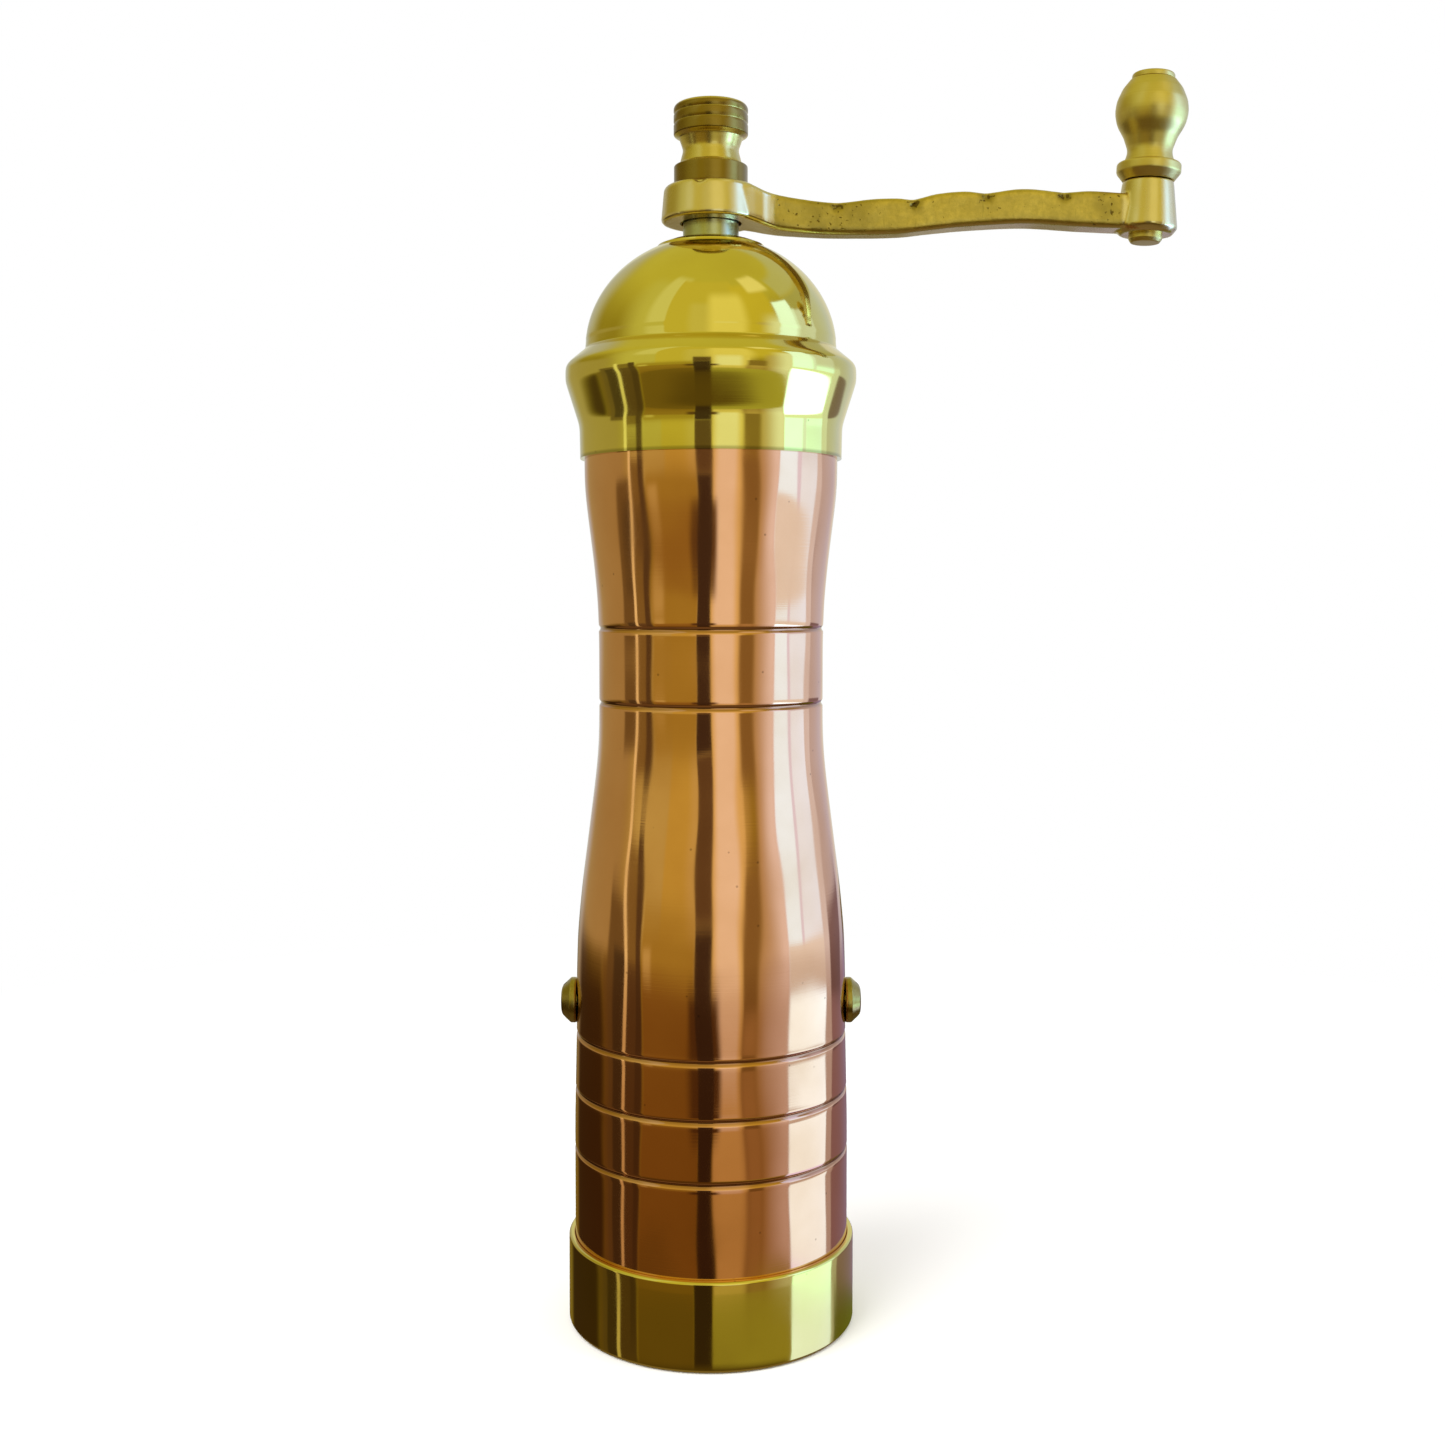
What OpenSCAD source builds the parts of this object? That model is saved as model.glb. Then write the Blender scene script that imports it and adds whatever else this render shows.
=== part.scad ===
// Hand-cranked column mill: a copper barrel on a brass foot, a brass cap with its crank,
// and a conical steel burr set inside.
// Millimetres. Z is up, the origin is the centre of the foot's open mouth, and the crank
// arm points along +X.

/* [Foot ring] */
// Height of the foot ring
ring_h = 14.4; // [10:0.2:20]
// Wall of the foot ring outside the barrel
ring_wall = 1.0; // [0.8:0.1:1.6]
// Thickness of the lip that the barrel stands on
lip_t = 1.6; // [1.2:0.1:2.4]
// Radius of the open mouth through the lip
base_mouth_r = 21.5; // [19:0.1:21.7]

/* [Barrel] */
// Height of the rim that the cap sits on
barrel_top = 144.4; // [126:0.2:180]
// Outer radius where the burrs are held
barrel_r = 22.65; // [22.6:0.05:28]
// Outer radius of the waist
waist_r = 18.75; // [17:0.05:22.5]
// Outer radius at the rim
mouth_r = 21.1; // [20.5:0.05:25.4]
// Thickness of the copper
barrel_wall = 1.1; // [0.9:0.1:1.4]
// How much wider the barrel is at its foot
foot_flare = 0.35; // [0:0.05:0.6]
// Height at which the barrel starts to narrow
shoulder_z = 65.5; // [62:0.5:72]
// Distance from the rim down to the waist
rim_to_waist = 23.8; // [20:0.2:28]
// Length of the waist
waist_h = 24.4; // [20:0.2:30]

/* [Cap] */
// How far the cap overhangs the rim
cap_overhang = 0.7; // [0.4:0.1:1.2]
// Thickness of the spun brass
cap_wall = 1.2; // [1:0.1:1.5]
// Height of the dome above its fold
dome_h = 18.6; // [16:0.2:23]
// Height of the steel collar above the dome
collar_h = 4.0; // [3.4:0.1:5]
// Radius of the steel collar
collar_r = 4.63; // [4.5:0.01:5.6]

/* [Crank] */
// Distance from the mill's axis to the grip's axis, at the top of the hub
crank_r = 72.65; // [60:0.05:88]
// Lean of the grip away from the mill, in degrees
grip_lean = 2.5; // [0:0.5:4]
// Height of the hub
hub_h = 6.0; // [5:0.1:8]
// Radius of the hub at its foot
hub_r = 8.4; // [8:0.1:10]
// Radius of the pin that the grip turns on
pin_r = 2.4; // [2:0.05:2.8]

/* [Adjusting knob] */
// Radius of the knob's head
knob_r = 6.18; // [5.9:0.02:7.5]
// Height of the knob
knob_h = 13.5; // [13:0.1:17]

/* [Shaft] */
// Radius of the steel shaft
shaft_r = 3.0; // [2.6:0.05:3.5]
// Radius of the threads at both its ends
thread_r = 2.0; // [1.6:0.05:2.2]

/* [Burr set] */
// Height of the underside of the burr housing
housing_z = 44.0; // [38:0.5:46]
// Height of the burr housing
housing_h = 13.0; // [12:0.5:14]
// Radius of the inner burr at its foot
burr_r = 14.2; // [11:0.1:14.4]
// Height of the inner burr
burr_h = 15.5; // [15:0.1:16]
// Level gap between the tooth tips of the two burrs
burr_gap = 0.38; // [0.36:0.01:0.6]
// Number of fine teeth on the inner burr
fine_teeth = 24; // [18:1:30]
// Number of coarse flutes on the inner burr
coarse_teeth = 5; // [4:1:7]
// Height of the side screws that hold the burr housing
side_screw_z = 53.3; // [51:0.1:54]
// Height of the bridge's boss
boss_h = 9.0; // [7:0.5:12]

/* [Fits] */
// Gap round a turning shaft, pin or lifting sleeve
run_fit = 0.05; // [0.03:0.01:0.08]
// Gap round a part that is held still
seat_fit = 0.04; // [0.02:0.01:0.06]

/* [Hidden] */
$fn = 96;
cut = 0.5;                                       // how far a cut runs past a face

brass = "#c4a24a";
copper = "#b06f3c";
steel = "#9a9ca0";
iron = "#55565a";

// --- Barrel levels and radii -------------------------------------------------------
foot_r = barrel_r + foot_flare;
flare_z = [34, 50];                              // the foot's flare runs between these
waist_top = barrel_top - rim_to_waist;
waist_foot = waist_top - waist_h;
rim_h = 5.0;                                     // the barrel stops widening this far down
rim_straight = 3.2;                              // and is straight from here up
foot_grooves = [29.2, 39.2, 48.5];
waist_grooves = [waist_foot + 7.7, waist_foot + 20.05];
groove_r = 0.5;
groove_depth = 0.25;
mouth_bore = mouth_r - barrel_wall;

// --- Cap levels and radii ----------------------------------------------------------
skirt_r = mouth_r + cap_overhang;
fold_z = barrel_top + 18.1;                      // where the dome rises from the bead
dome_r = skirt_r - 0.9;
pad_r = 9.0;                                     // raised pad on the crown
pad_rise = 0.35;
stem_r = collar_r - 0.6;                         // bush inside the dome
sleeve_depth = rim_straight - 0.2;               // how deep the sleeve plugs in
sleeve_wall = 1.0;
crown_z = dome_z(dome_r, dome_h, collar_r) + pad_rise;
bush_top = crown_z + collar_h;
nut_r = 6.5;
nut_h = 3.4;
nut_seat = dome_z(dome_r - cap_wall, dome_h - cap_wall, nut_r + 0.3);

// --- Crank and knob levels ---------------------------------------------------------
hub_recess = 1.5;                                // counterbore that hides the collar
hub_z = bush_top - hub_recess;
hub_top = hub_z + hub_h;
hub_taper = 0.65;
socket_top = 0.85;                               // along the grip's axis, from hub_top
socket_foot = -7.1;
grip_gap = 0.1;
knob_recess = 2.0;
knob_bore_h = knob_h - 2.5;

// --- Shaft levels ------------------------------------------------------------------
square_w = shaft_r * sqrt(2) - 0.04;             // largest square that the bar holds
square_fit = 0.06;
burr_z = housing_z - 4.0;
burr_top = burr_z + burr_h;
shaft_shoulder = hub_z;                          // round below, square above
square_top = hub_top - 0.5;
thread_top = hub_top + knob_h - 4.0;
thread_foot = burr_z - 5.5;
washer_t = 1.0;
nut_flat = 2 * thread_r + 3.0;
burr_nut_h = 3.0;

// --- Burr housing and bridge -------------------------------------------------------
housing_r = barrel_r - barrel_wall - seat_fit;
housing_top = housing_z + housing_h;
housing_lip = 2.0;                               // holds the outer burr down
burr_wall = 3.3;
burr_ring_r = burr_r + burr_wall;
burr_flange_t = 2.0;
throat_r = burr_ring_r - 2.0;
cone = 0.445;                                    // burr radius lost for each mm of height
screw_ring_r = (housing_r + burr_ring_r) / 2 - 0.15;
small_screw_r = 1.0;
small_head_r = 1.7;
small_head_h = 1.2;
small_screw_l = 4.5;
burr_screw_angles = [90, 210, 330];
bridge_screw_angles = [45, 225];
bridge_ring_h = 3.0;
bridge_ring_r = housing_r - 0.15;
bridge_arm_w = 7.0;
spring_l = 10.5;
boss_z = burr_top + spring_l + washer_t;
bush_wall = 1.45;
bush_r = shaft_r + run_fit + bush_wall;
boss_r = bush_r + 2.0;
side_screw_r = 1.5;
side_head_r = 3.8;
side_head_h = 2.6;
side_screw_depth = 3.0;                          // thread inside the housing
wire_r = 0.4;
coil_r = shaft_r + 0.5 + wire_r;
coil_turns = 5;

// --- Helpers -----------------------------------------------------------------------
function unit(v) = v / norm(v);
function xy(p) = [p[0], p[1]];
function bulge(p) = len(p) > 2 ? p[2] : 0;

// Height of a dome of radius a and height b, above the fold, at radius r
function dome_z(a, b, r) = fold_z + b * sqrt(1 - pow(r / a, 2));

// Points of the arc of radius f that rounds corner p between its neighbours a and b
function corner(a, p, b, n = 6) =
    let (u = unit(xy(a) - xy(p)), v = unit(xy(b) - xy(p)),
         half = acos(max(-1, min(1, u * v))) / 2,
         room = min(norm(xy(a) - xy(p)) * (bulge(a) > 0 ? 0.5 : 1),
                    norm(xy(b) - xy(p)) * (bulge(b) > 0 ? 0.5 : 1)),
         f = min(bulge(p), 0.99 * room * tan(half)))
    f <= 0 || half > 89.9 ? [xy(p)] :
    let (centre = xy(p) + unit(u + v) * f / sin(half),
         s = xy(p) + u * f / tan(half) - centre,
         e = xy(p) + v * f / tan(half) - centre,
         from = atan2(s[1], s[0]),
         turn = atan2(s[0] * e[1] - s[1] * e[0], s * e))
    [for (i = [0:n]) centre + f * [cos(from + turn * i / n), sin(from + turn * i / n)]];

// A path of [radius, height, rounding] corners with its corners rounded
function rounded(path) =
    [for (i = [0:len(path) - 1]) each (i == 0 || i == len(path) - 1) ? [xy(path[i])]
        : corner(path[i - 1], path[i], path[i + 1])];

// A turned solid from an open path, closed straight down to the axis
module turned(path) {
    p = rounded(path);
    rotate_extrude() polygon(concat([[0, p[0][1]]], p, [[0, p[len(p) - 1][1]]]));
}

module bore(r, from, to) {
    translate([0, 0, from]) cylinder(r = r, h = to - from);
}

// Round-bottomed groove round a turned surface
module groove(r, z, wide = groove_r, deep = groove_depth) {
    rotate_extrude() translate([r + wide - deep, z]) circle(r = wide, $fn = 24);
}

module square_bar(w, from, to) {
    translate([-w / 2, -w / 2, from]) cube([w, w, to - from]);
}

// Smooth curve through points p, read at x
function slope(p, i) =
    let (a = max(0, i - 1), b = min(len(p) - 1, i + 1)) (p[b][1] - p[a][1]) / (p[b][0] - p[a][0]);
function curve(p, x, i = 0) =
    i < len(p) - 2 && x > p[i + 1][0] ? curve(p, x, i + 1) :
    let (w = p[i + 1][0] - p[i][0], t = (x - p[i][0]) / w)
    (2 * t * t * t - 3 * t * t + 1) * p[i][1] + (t * t * t - 2 * t * t + t) * w * slope(p, i)
    + (3 * t * t - 2 * t * t * t) * p[i + 1][1] + (t * t * t - t * t) * w * slope(p, i + 1);

// A skin over equal rings of points, with flat ends
module loft(rings) {
    n = len(rings[0]);
    m = len(rings);
    sides = [for (i = [0:m - 2]) for (j = [0:n - 1])
        let (a = i * n + j, b = i * n + (j + 1) % n) each [[a, a + n, b], [b, a + n, b + n]]];
    foot = [for (j = [0:n - 1]) j];
    head = [for (j = [n - 1:-1:0]) (m - 1) * n + j];
    polyhedron([for (ring = rings) each ring], concat(sides, [foot, head]));
}

// --- Foot and barrel ---------------------------------------------------------------
module base_ring() {
    outer_r = foot_r + seat_fit + ring_wall;
    color(brass) difference() {
        turned([[0, 0], [outer_r - 0.3, 0], [outer_r, 0.4, 0.3], [outer_r, ring_h, 0.6],
                [0, ring_h]]);
        bore(foot_r + seat_fit, lip_t, ring_h + cut);
        bore(base_mouth_r, -cut, lip_t + cut);
    }
}

// Outside radius of the barrel near its foot
function barrel_low_r(z) = lookup(z, [[flare_z[0], foot_r], [flare_z[1], barrel_r]]);

// Barrel corners from foot to rim, with a wall's thickness taken off
function barrel_path(wall) = [
    [foot_r - wall, lip_t], [foot_r - wall, flare_z[0], 60], [barrel_r - wall, flare_z[1], 60],
    [barrel_r - wall, shoulder_z, 150], [waist_r - wall, waist_foot, 70],
    [waist_r - wall, waist_top, 100], [mouth_r - wall, barrel_top - rim_h, 80],
    [mouth_r - wall, barrel_top - rim_straight], [mouth_r - wall, barrel_top]];

module barrel() {
    skin = rounded(barrel_path(0));
    lining = rounded(barrel_path(barrel_wall));
    color(copper) difference() {
        rotate_extrude()
            polygon(concat(skin, [for (i = [len(lining) - 1:-1:0]) lining[i]]));
        for (z = foot_grooves) groove(barrel_low_r(z), z);
        for (z = waist_grooves) groove(waist_r, z);
        for (side = [0, 180]) rotate([0, 0, side]) translate([housing_r - 2, 0, side_screw_z])
            rotate([0, 90, 0]) cylinder(r = side_screw_r + 0.1, h = 5);
    }
}

module side_screws() {
    color(brass) for (side = [0, 180]) rotate([0, 0, side])
        translate([barrel_r + 0.02, 0, side_screw_z]) rotate([0, 90, 0]) difference() {
            union() {
                turned([[0, 0], [side_head_r, 0], [side_head_r, 1.0, 0.3],
                        [side_head_r - 1.6, side_head_h, 1.2], [0, side_head_h]]);
                bore(side_screw_r, -barrel_wall - side_screw_depth, cut);
            }
            translate([-0.4, -side_head_r - cut, side_head_h - 0.8])
                cube([0.8, 2 * (side_head_r + cut), 2]);
        }
}

// --- Burr housing and outer burr ---------------------------------------------------
module ring_of_screws(angles) {
    for (a = angles) rotate([0, 0, a]) translate([screw_ring_r, 0, 0]) children();
}

module burr_housing() {
    color(iron) difference() {
        bore(housing_r, housing_z, housing_top);
        bore(burr_ring_r + seat_fit, housing_z - cut, housing_top - housing_lip);
        bore(throat_r, housing_z, housing_top + cut);
        ring_of_screws(burr_screw_angles)
            bore(small_screw_r + seat_fit, housing_z - cut, housing_z + small_screw_l + 0.5);
        ring_of_screws(bridge_screw_angles)
            bore(small_screw_r + seat_fit, housing_top - small_screw_l - 0.5, housing_top + cut);
        for (side = [0, 180]) rotate([0, 0, side])
            translate([housing_r - side_screw_depth - 0.2, 0, side_screw_z])
                rotate([0, 90, 0]) cylinder(r = side_screw_r + seat_fit, h = 5);
    }
}

// Toothed outline: each tooth is a land, a steep front and a sloping back
function toothed(n, r, depth) = [for (i = [0:n - 1])
    for (k = [[0, 0], [0.3, 0], [0.42, 1], [0.6, 0.85]])
        (r + depth * k[1]) * [cos((i + k[0]) * 360 / n), sin((i + k[0]) * 360 / n)]];

// Helical teeth on a cone from radius r1 up to radius r2
module toothed_cone(n, r1, r2, h, depth, twist, slices) {
    linear_extrude(height = h, scale = r2 / r1, twist = twist, slices = slices)
        polygon(toothed(n, r1, depth));
}

function burr_tip(z) = burr_r - cone * (z - burr_z);
fine_top = burr_z + 7.0;                         // fine teeth below, coarse flutes above

module inner_burr() {
    color(steel) difference() {
        union() {
            translate([0, 0, burr_z])
                toothed_cone(fine_teeth, burr_r, burr_tip(fine_top), fine_top - burr_z,
                             -0.9, 24, 4);
            translate([0, 0, fine_top])
                toothed_cone(coarse_teeth, burr_tip(fine_top), burr_tip(burr_top),
                             burr_top - fine_top, -2.6, 70, 10);
        }
        square_bar(square_w + square_fit, burr_z - cut, burr_top + cut);
    }
}

module outer_burr() {
    foot = housing_z - burr_flange_t;
    neck = fine_top + 0.2;
    top = housing_top - housing_lip;
    foot_tip = burr_tip(foot) + burr_gap;
    neck_tip = burr_tip(neck) + burr_gap;
    color(steel) difference() {
        union() {
            bore(burr_ring_r, foot, top);
            bore(housing_r - 0.5, foot, housing_z);
        }
        translate([0, 0, foot - cut])
            toothed_cone(fine_teeth + 4, foot_tip + cone * cut, neck_tip, neck - foot + cut,
                         0.8, -16, 4);
        translate([0, 0, neck - 0.01])
            toothed_cone(coarse_teeth + 3, neck_tip, neck_tip + 2.8, top - neck + cut,
                         0.9, -30, 6);
        ring_of_screws(burr_screw_angles)
            bore(small_screw_r + 0.1, foot - cut, housing_z + cut);
    }
}

module small_screw(head_z, tip_z) {
    up = head_z > tip_z ? 1 : -1;
    difference() {
        union() {
            bore(small_screw_r, min(head_z, tip_z), max(head_z, tip_z));
            translate([0, 0, head_z]) mirror([0, 0, up > 0 ? 0 : 1])
                turned([[0, 0], [small_head_r, 0], [small_head_r, small_head_h, 0.5],
                        [0, small_head_h]]);
        }
        translate([-small_head_r - cut, -0.25, head_z + up * small_head_h - 0.5])
            cube([2 * (small_head_r + cut), 0.5, 1]);
    }
}

module burr_screws() {
    color(steel) ring_of_screws(burr_screw_angles)
        small_screw(housing_z - burr_flange_t, housing_z + small_screw_l);
}

// --- Bearing bridge ----------------------------------------------------------------
module bearing_bridge() {
    ring_top = housing_top + bridge_ring_h;
    boss_top = boss_z + boss_h;
    color(iron) difference() {
        union() {
            difference() {
                bore(bridge_ring_r, housing_top, ring_top);
                bore(burr_ring_r + 0.1, housing_top - cut, ring_top + cut);
            }
            for (side = [0, 180]) rotate([0, 0, side])
                translate([0, bridge_arm_w / 2, 0]) rotate([90, 0, 0])
                    linear_extrude(bridge_arm_w) polygon(rounded([
                        [0, boss_z], [8.5, boss_z, 4], [burr_ring_r + 0.1, housing_top, 1],
                        [bridge_ring_r - 0.5, housing_top], [bridge_ring_r - 0.5, ring_top, 2],
                        [11, boss_top - 3.5, 6], [0, boss_top - 3]]));
            bore(boss_r, boss_z, boss_top);
        }
        bore(bush_r + seat_fit, boss_z - cut, boss_top + cut);
        ring_of_screws(bridge_screw_angles)
            bore(small_screw_r + 0.1, housing_top - cut, ring_top + cut);
    }
}

module bridge_bush() {
    color(brass) difference() {
        bore(bush_r, boss_z, boss_z + boss_h);
        bore(shaft_r + run_fit, boss_z - cut, boss_z + boss_h + cut);
    }
}

module bridge_screws() {
    color(steel) ring_of_screws(bridge_screw_angles)
        small_screw(housing_top + bridge_ring_h, housing_top - small_screw_l);
}

module thrust_washer() {
    color(brass) difference() {
        bore(bush_r + 1, boss_z - washer_t, boss_z);
        bore(shaft_r + run_fit, boss_z - washer_t - cut, boss_z + cut);
    }
}

// The coil stands on the inner burr and presses up against the thrust washer
module burr_spring() {
    sides = 8;
    steps = 18;
    clear = 0.03;
    from = burr_top + wire_r + clear;
    rise = spring_l - 2 * (wire_r + clear);
    color(steel) loft([for (i = [0:coil_turns * steps])
        let (a = 360 * i / steps, share = i / (coil_turns * steps),
             lift = rise * (share - sin(360 * share) / (2 * PI) * 0.5))
        [for (k = [0:sides - 1]) let (t = 360 * k / sides, r = coil_r + wire_r * cos(t))
            [r * cos(a), r * sin(a), from + lift + wire_r * sin(t)]]]);
}

// --- Shaft -------------------------------------------------------------------------
module shaft() {
    color(steel) union() {
        bore(thread_r, thread_foot, burr_z + 1);
        square_bar(square_w, burr_z + 0.3, burr_top + 0.5);
        bore(shaft_r, burr_top, shaft_shoulder);
        square_bar(square_w, shaft_shoulder - 0.5, square_top);
        bore(thread_r, square_top - 0.5, thread_top);
    }
}

module burr_washer() {
    color(steel) difference() {
        bore(nut_flat / 2 + 1.5, burr_z - washer_t, burr_z);
        bore(thread_r + 0.1, burr_z - washer_t - cut, burr_z + cut);
    }
}

module burr_nut() {
    top = burr_z - washer_t;
    color(steel) difference() {
        translate([0, 0, top - burr_nut_h])
            cylinder(r = nut_flat / sqrt(3), h = burr_nut_h, $fn = 6);
        bore(thread_r + seat_fit, top - burr_nut_h - cut, top + cut);
    }
}

// --- Cap ---------------------------------------------------------------------------
// Skirt and bead from the rim to the fold, moved in by a wall's thickness
function bead_path(t) = [
    [skirt_r - t, barrel_top], [skirt_r + 0.1 - t, barrel_top + 5.4, 6],
    [skirt_r + 2.42 - t, barrel_top + 12.7, 4],
    [skirt_r + 2.4 - t, barrel_top + 15.3 - t / 2, 1.8]];

// Dome from its fold up to radius stop
function dome_path(a, b, stop) =
    let (last = acos(stop / a)) [for (i = [0:12]) let (t = last * i / 12)
        [a * cos(t), fold_z + b * sin(t)]];

module cap_dome() {
    pad_z = dome_z(dome_r, dome_h, pad_r);
    crown = [for (r = [pad_r - 0.3:-1:collar_r]) [r, dome_z(dome_r, dome_h, r) + pad_rise]];
    skin = concat(rounded(concat(bead_path(0), [[dome_r + 0.05, fold_z - 0.1, 0.4],
                                                [dome_r - 0.05, fold_z + 1.2]])),
                  [for (p = dome_path(dome_r, dome_h, pad_r)) if (p[1] > fold_z + 1.5) p],
                  [[pad_r, pad_z + 0.2]], crown, [[collar_r, crown_z]]);
    lining = concat(rounded(concat(bead_path(cap_wall), [[dome_r - cap_wall, fold_z, 0.4],
                                                [dome_r - cap_wall - 0.05, fold_z + 1.2]])),
                    [for (p = dome_path(dome_r - cap_wall, dome_h - cap_wall, nut_r + 0.3))
                        if (p[1] > fold_z + 1.5) p]);
    color(brass) difference() {
        rotate_extrude() polygon(concat(skin, [[0, crown_z], [0, nut_seat]],
            [for (i = [len(lining) - 1:-1:0]) lining[i]]));
        bore(stem_r + seat_fit, nut_seat - cut, crown_z + cut);
    }
}

// Soldered inside the skirt; its lower half plugs into the barrel's mouth
module cap_sleeve() {
    plug_r = mouth_bore - run_fit;
    color(brass) difference() {
        union() {
            bore(plug_r, barrel_top - sleeve_depth, barrel_top + 0.1);
            bore(skirt_r - cap_wall - seat_fit, barrel_top, barrel_top + 4.5);
        }
        bore(plug_r - sleeve_wall, barrel_top - sleeve_depth - cut, barrel_top + 4.5 + cut);
    }
}

module cap_bush() {
    stem_foot = nut_seat - nut_h - 1;
    color(steel) difference() {
        union() {
            bore(stem_r, stem_foot, crown_z + 0.1);
            translate([0, 0, crown_z])
                turned([[0, 0], [collar_r, 0], [collar_r, collar_h, 0.3], [0, collar_h]]);
        }
        bore(shaft_r + run_fit, stem_foot - cut, bush_top + cut);
    }
}

module bush_nut() {
    color(brass) difference() {
        bore(nut_r, nut_seat - nut_h, nut_seat);
        bore(stem_r + seat_fit, nut_seat - nut_h - cut, nut_seat + cut);
        for (a = [0, 90]) rotate([0, 0, a])
            translate([-nut_r - cut, -0.8, nut_seat - nut_h - cut])
                cube([2 * (nut_r + cut), 1.6, 1 + cut]);
    }
}

// --- Crank arm and grip ------------------------------------------------------------
// Carries a shape from the mill's axis to the leaning axis of the grip
module at_grip() {
    translate([crank_r, 0, hub_top]) rotate([0, grip_lean, 0]) children();
}

// Arm edges as [share of the crank's radius, height below the top of the hub]
arm_top = [[0.05, -0.2], [0.09, -0.5], [0.125, -1.4], [0.2, -2.3], [0.287, -2.9],
           [0.37, -2.3], [0.425, -2.2], [0.461, -2.4], [0.515, -1.5], [0.578, -1.1],
           [0.627, -1.4], [0.69, -0.8], [0.735, -0.8], [0.802, -1.3], [0.86, -1.1],
           [0.93, -1.4], [1.0, -1.5]];
arm_foot = [[0.05, -5.6], [0.1, -6.5], [0.14, -7.3], [0.18, -7.7], [0.27, -8.1],
            [0.425, -8.0], [0.5, -7.4], [0.59, -6.8], [0.72, -6.4], [0.84, -6.9],
            [0.95, -7.2], [1.0, -7.0]];
// Half the arm's thickness: it flows out of the hub and swells towards the socket
arm_half = [[0.05, 5.0], [0.1, 3.4], [0.145, 2.5], [0.3, 2.55], [0.6, 2.85], [1.0, 3.15]];
arm_round = 1.1;

function arm_section(share) =
    let (top = curve(arm_top, share), foot = curve(arm_foot, share),
         half = curve(arm_half, share), mid = hub_top + (top + foot) / 2,
         tall = (top - foot) / 2 - arm_round, wide = half - arm_round)
    [for (q = [0:3]) for (a = [0:30:90]) let (t = 90 * q + a)
        [share * crank_r, (q == 1 || q == 2 ? -wide : wide) + arm_round * cos(t),
         mid + (q < 2 ? tall : -tall) + arm_round * sin(t)]];

module crank_arm() {
    steps = 44;
    color(brass) difference() {
        union() {
            turned([[0, hub_z], [hub_r, hub_z, 0.3], [hub_r - hub_taper, hub_top, 1.0],
                    [0, hub_top]]);
            loft([for (i = [0:steps]) arm_section(0.06 + 0.885 * i / steps)]);
            at_grip() turned([[0, socket_foot], [4.3, socket_foot], [5.1, socket_foot + 1, 0.6],
                              [4.18, socket_top, 0.3], [0, socket_top]]);
        }
        bore(collar_r + 0.5, hub_z - 2, bush_top);
        square_bar(square_w + square_fit, hub_z, hub_top + cut);
        at_grip() bore(pin_r + seat_fit, socket_foot - cut, socket_top + cut);
    }
}

grip_foot = socket_top + grip_gap;
grip_top = grip_foot + 16.6;

module grip() {
    color(brass) at_grip() difference() {
        turned([[0, grip_foot], [4.2, grip_foot, 0.2], [5.25, grip_foot + 1.35, 0.7],
                [5.25, grip_foot + 2.8, 0.5], [4.1, grip_foot + 3.15, 0.1],
                [3.8, grip_foot + 5.25, 2.5], [6.6, grip_foot + 11.65, 5.5],
                [3.85, grip_top, 0.3], [0, grip_top]]);
        bore(pin_r + run_fit, grip_foot - cut, grip_top + cut);
    }
}

// Riveted over under the socket; its head keeps the grip on
module grip_pin() {
    color(brass) at_grip() union() {
        bore(pin_r, socket_foot - 0.5, grip_top + 0.5);
        translate([0, 0, socket_foot]) mirror([0, 0, 1])
            turned([[0, 0], [2.75, 0], [2.75, 1.4, 0.2], [2.2, 2.1, 0.3], [0, 2.1]]);
        translate([0, 0, grip_top + grip_gap])
            turned([[0, 0], [3.5, 0], [3.45, 1.0, 0.5], [0, 1.0]]);
    }
}

// --- Adjusting knob ----------------------------------------------------------------
module adjusting_knob() {
    flange_r = knob_r - 0.05;
    neck_r = knob_r - 1.6;
    head_h = 5.0;
    head_z = knob_h - head_h;
    color(brass) translate([0, 0, hub_top]) difference() {
        turned([[0, 0], [flange_r, 0], [flange_r, 3.3, 0.3], [neck_r + 0.6, 3.75, 0.4],
                [neck_r, (head_z + 3.5) / 2, 1.8], [neck_r + 0.7, head_z - 0.5, 0.5],
                [knob_r, head_z, 0.4], [knob_r, knob_h, 0.9], [0, knob_h]]);
        for (below = [1.5, 3.25]) groove(knob_r, knob_h - below, 0.25, 0.15);
        bore(shaft_r + 0.15, -cut, knob_recess);
        bore(thread_r + run_fit, 0, knob_bore_h);
    }
}

barrel();
base_ring();
side_screws();
burr_housing();
outer_burr();
burr_screws();
bearing_bridge();
bridge_bush();
bridge_screws();
thrust_washer();
burr_spring();
shaft();
inner_burr();
burr_washer();
burr_nut();
cap_dome();
cap_sleeve();
cap_bush();
bush_nut();
crank_arm();
grip_pin();
grip();
adjusting_knob();
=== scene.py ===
# %% [markdown]
# # A hand-cranked column mill in copper and brass
# The mill is a waisted copper tube on a brass foot, with a spun brass cap, a cast crank, a
# turned grip and a knob that sets the grind. Its working parts come ready made and in
# place from the frame, so this lesson gives each visible surface its finish, and makes the
# turned and cast pieces again as fine smooth meshes that can carry a mirror polish.

# %% Load the frame
import math

import bmesh
import bpy
from mathutils import Matrix, Vector, noise


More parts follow.
